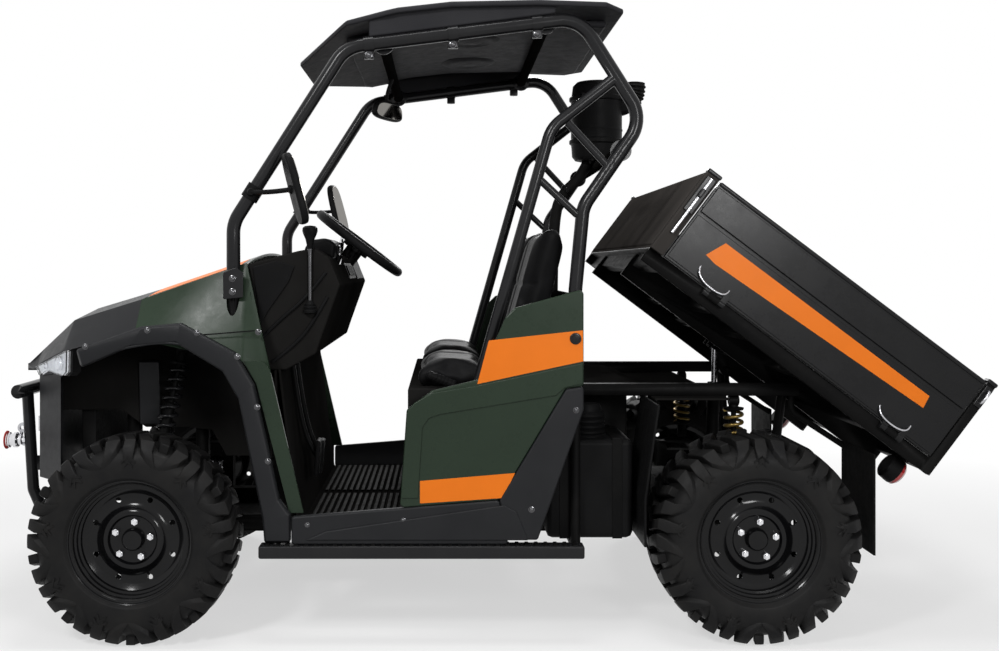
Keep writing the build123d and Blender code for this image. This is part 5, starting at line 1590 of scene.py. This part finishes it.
class VEHICLE_OT_stage(bpy.types.Operator):
    """Sets the pale floor, the soft lights and the camera"""

    bl_idname = "vehicle.stage"
    bl_label = "Stage"

    def execute(self, context):
        stage = context.scene.vehicle_stage
        scene = context.scene
        scene.view_settings.view_transform = "Standard"
        bare()
        bpy.ops.mesh.primitive_circle_add(
            vertices=64, radius=FLOOR_RADIUS, fill_type="NGON", location=(0, 0, -FLOOR_DROP)
        )
        floor = settle_place(named("pale_floor"))
        material, nodes, links, shader, place = blank_finish("pale_floor")
        shader.inputs["Base Color"].default_value = (*stage.floor_colour, 1)
        shader.inputs["Roughness"].default_value = FLOOR_ROUGHNESS
        shader.inputs[SPECULAR].default_value = FLOOR_SPECULAR
        ball = nodes.new("ShaderNodeTexGradient")
        ball.gradient_type = "SPHERICAL"
        size = nodes.new("ShaderNodeMapping")
        size.inputs["Scale"].default_value = SHADOW_SCALE
        links.new(place.outputs["Object"], size.inputs["Vector"])
        links.new(size.outputs["Vector"], ball.inputs["Vector"])
        fade = range_node(nodes, links, ball.outputs["Fac"], 0, SHADOW_MOST, SHADOW_FROM, SHADOW_TO)
        glow = nodes.new("ShaderNodeEmission")
        links.new(self.seen_directly(nodes, links), glow.inputs["Strength"])
        blend = nodes.new("ShaderNodeMixShader")
        links.new(fade, blend.inputs["Fac"])
        links.new(glow.outputs["Emission"], blend.inputs[1])
        links.new(shader.outputs["BSDF"], blend.inputs[2])
        links.new(blend.outputs["Shader"], nodes["Material Output"].inputs["Surface"])
        floor.data.materials.append(material)
        self.set_world(scene)
        for name, place, target, size, watts in SOFTBOXES:
            light = bpy.data.lights.new(name, "AREA")
            light.shape = "DISK"
            light.size = size
            light.energy = watts
            lamp = bpy.data.objects.new(name, light)
            scene.collection.objects.link(lamp)
            lamp.location = place
            lamp.rotation_euler = (Vector(target) - Vector(place)).to_track_quat("-Z", "Y").to_euler()
        data = bpy.data.cameras.new("photo_camera")
        data.lens = stage.lens
        data.sensor_width = SENSOR_WIDTH
        data.shift_x, data.shift_y = CAMERA_SHIFT
        camera = bpy.data.objects.new("photo_camera", data)
        scene.collection.objects.link(camera)
        camera.location = (MIDDLE, -stage.camera_distance, stage.camera_height)
        camera.rotation_euler = (pi / 2, 0, 0)
        scene.camera = camera
        return {"FINISHED"}

    def seen_directly(self, nodes, links):
        """One where the camera looks, straight or by gloss or glass, and none for plain light."""
        path = nodes.new("ShaderNodeLightPath")
        total = path.outputs["Is Camera Ray"]
        for ray in ("Is Glossy Ray", "Is Transmission Ray"):
            add = nodes.new("ShaderNodeMath")
            add.operation = "ADD"
            add.use_clamp = True
            links.new(total, add.inputs[0])
            links.new(path.outputs[ray], add.inputs[1])
            total = add.outputs["Value"]
        return total

    def set_world(self, scene):
        """White where the camera, gloss or glass looks past the object, plain grey light elsewhere."""
        world = bpy.data.worlds.new("studio")
        scene.world = world
        world.use_nodes = True
        nodes = world.node_tree.nodes
        links = world.node_tree.links
        fill = nodes["Background"]
        fill.inputs["Color"].default_value = WHITE
        fill.inputs["Strength"].default_value = WORLD_FILL
        white = nodes.new("ShaderNodeBackground")
        white.inputs["Color"].default_value = WHITE
        mix = nodes.new("ShaderNodeMixShader")
        links.new(self.seen_directly(nodes, links), mix.inputs["Fac"])
        links.new(fill.outputs["Background"], mix.inputs[1])
        links.new(white.outputs["Background"], mix.inputs[2])
        links.new(mix.outputs["Shader"], nodes["World Output"].inputs["Surface"])


PIECES = [
    VEHICLE_OT_tyres, VEHICLE_OT_rims, VEHICLE_OT_panels, VEHICLE_OT_springs, VEHICLE_OT_seats,
    VEHICLE_OT_controls, VEHICLE_OT_lamps, VEHICLE_OT_stripes, VEHICLE_OT_fasteners, VEHICLE_OT_winch,
    VEHICLE_OT_cage_fittings, VEHICLE_OT_mirrors, VEHICLE_OT_air_cleaner, VEHICLE_OT_liners,
    VEHICLE_OT_floor_grips, VEHICLE_OT_bed_fittings, VEHICLE_OT_stage,
]
SETTINGS = [
    ("vehicle_paint", PaintSettings),
    ("vehicle_wheels", WheelSettings),
    ("vehicle_seats", SeatSettings),
    ("vehicle_stage", StageSettings),
]


class VEHICLE_PT_sidebar(bpy.types.Panel):
    """Lists the settings and the pieces"""

    bl_idname = "VEHICLE_PT_sidebar"
    bl_label = "Utility vehicle"
    bl_space_type = "VIEW_3D"
    bl_region_type = "UI"
    bl_category = "Vehicle"

    def draw(self, context):
        for name, _ in SETTINGS:
            settings = getattr(context.scene, name)
            for key in settings.bl_rna.properties.keys():
                if key not in ("rna_type", "name"):
                    self.layout.prop(settings, key)
        for piece in PIECES:
            self.layout.operator(piece.bl_idname)


def register():
    """Registers the settings, the operators and the panel."""
    for name, group in SETTINGS:
        bpy.utils.register_class(group)
        setattr(bpy.types.Scene, name, bpy.props.PointerProperty(type=group))
    for piece in PIECES + [VEHICLE_PT_sidebar]:
        bpy.utils.register_class(piece)


def unregister():
    """Takes the classes off again, in the other order."""
    for piece in [VEHICLE_PT_sidebar] + PIECES[::-1]:
        bpy.utils.unregister_class(piece)
    for name, group in SETTINGS[::-1]:
        delattr(bpy.types.Scene, name)
        bpy.utils.unregister_class(group)


def main():
    """Makes every piece in order."""
    register()
    finishes.update(make_finishes(bpy.context.scene.vehicle_paint))
    bpy.ops.vehicle.tyres()
    bpy.ops.vehicle.rims()
    bpy.ops.vehicle.panels()
    bpy.ops.vehicle.springs()
    bpy.ops.vehicle.seats()
    bpy.ops.vehicle.controls()
    bpy.ops.vehicle.lamps()
    bpy.ops.vehicle.stripes()
    bpy.ops.vehicle.fasteners()
    bpy.ops.vehicle.winch()
    bpy.ops.vehicle.cage_fittings()
    bpy.ops.vehicle.mirrors()
    bpy.ops.vehicle.air_cleaner()
    bpy.ops.vehicle.liners()
    bpy.ops.vehicle.floor_grips()
    bpy.ops.vehicle.bed_fittings()
    bpy.ops.vehicle.stage()


if __name__ == "__main__":
    main()
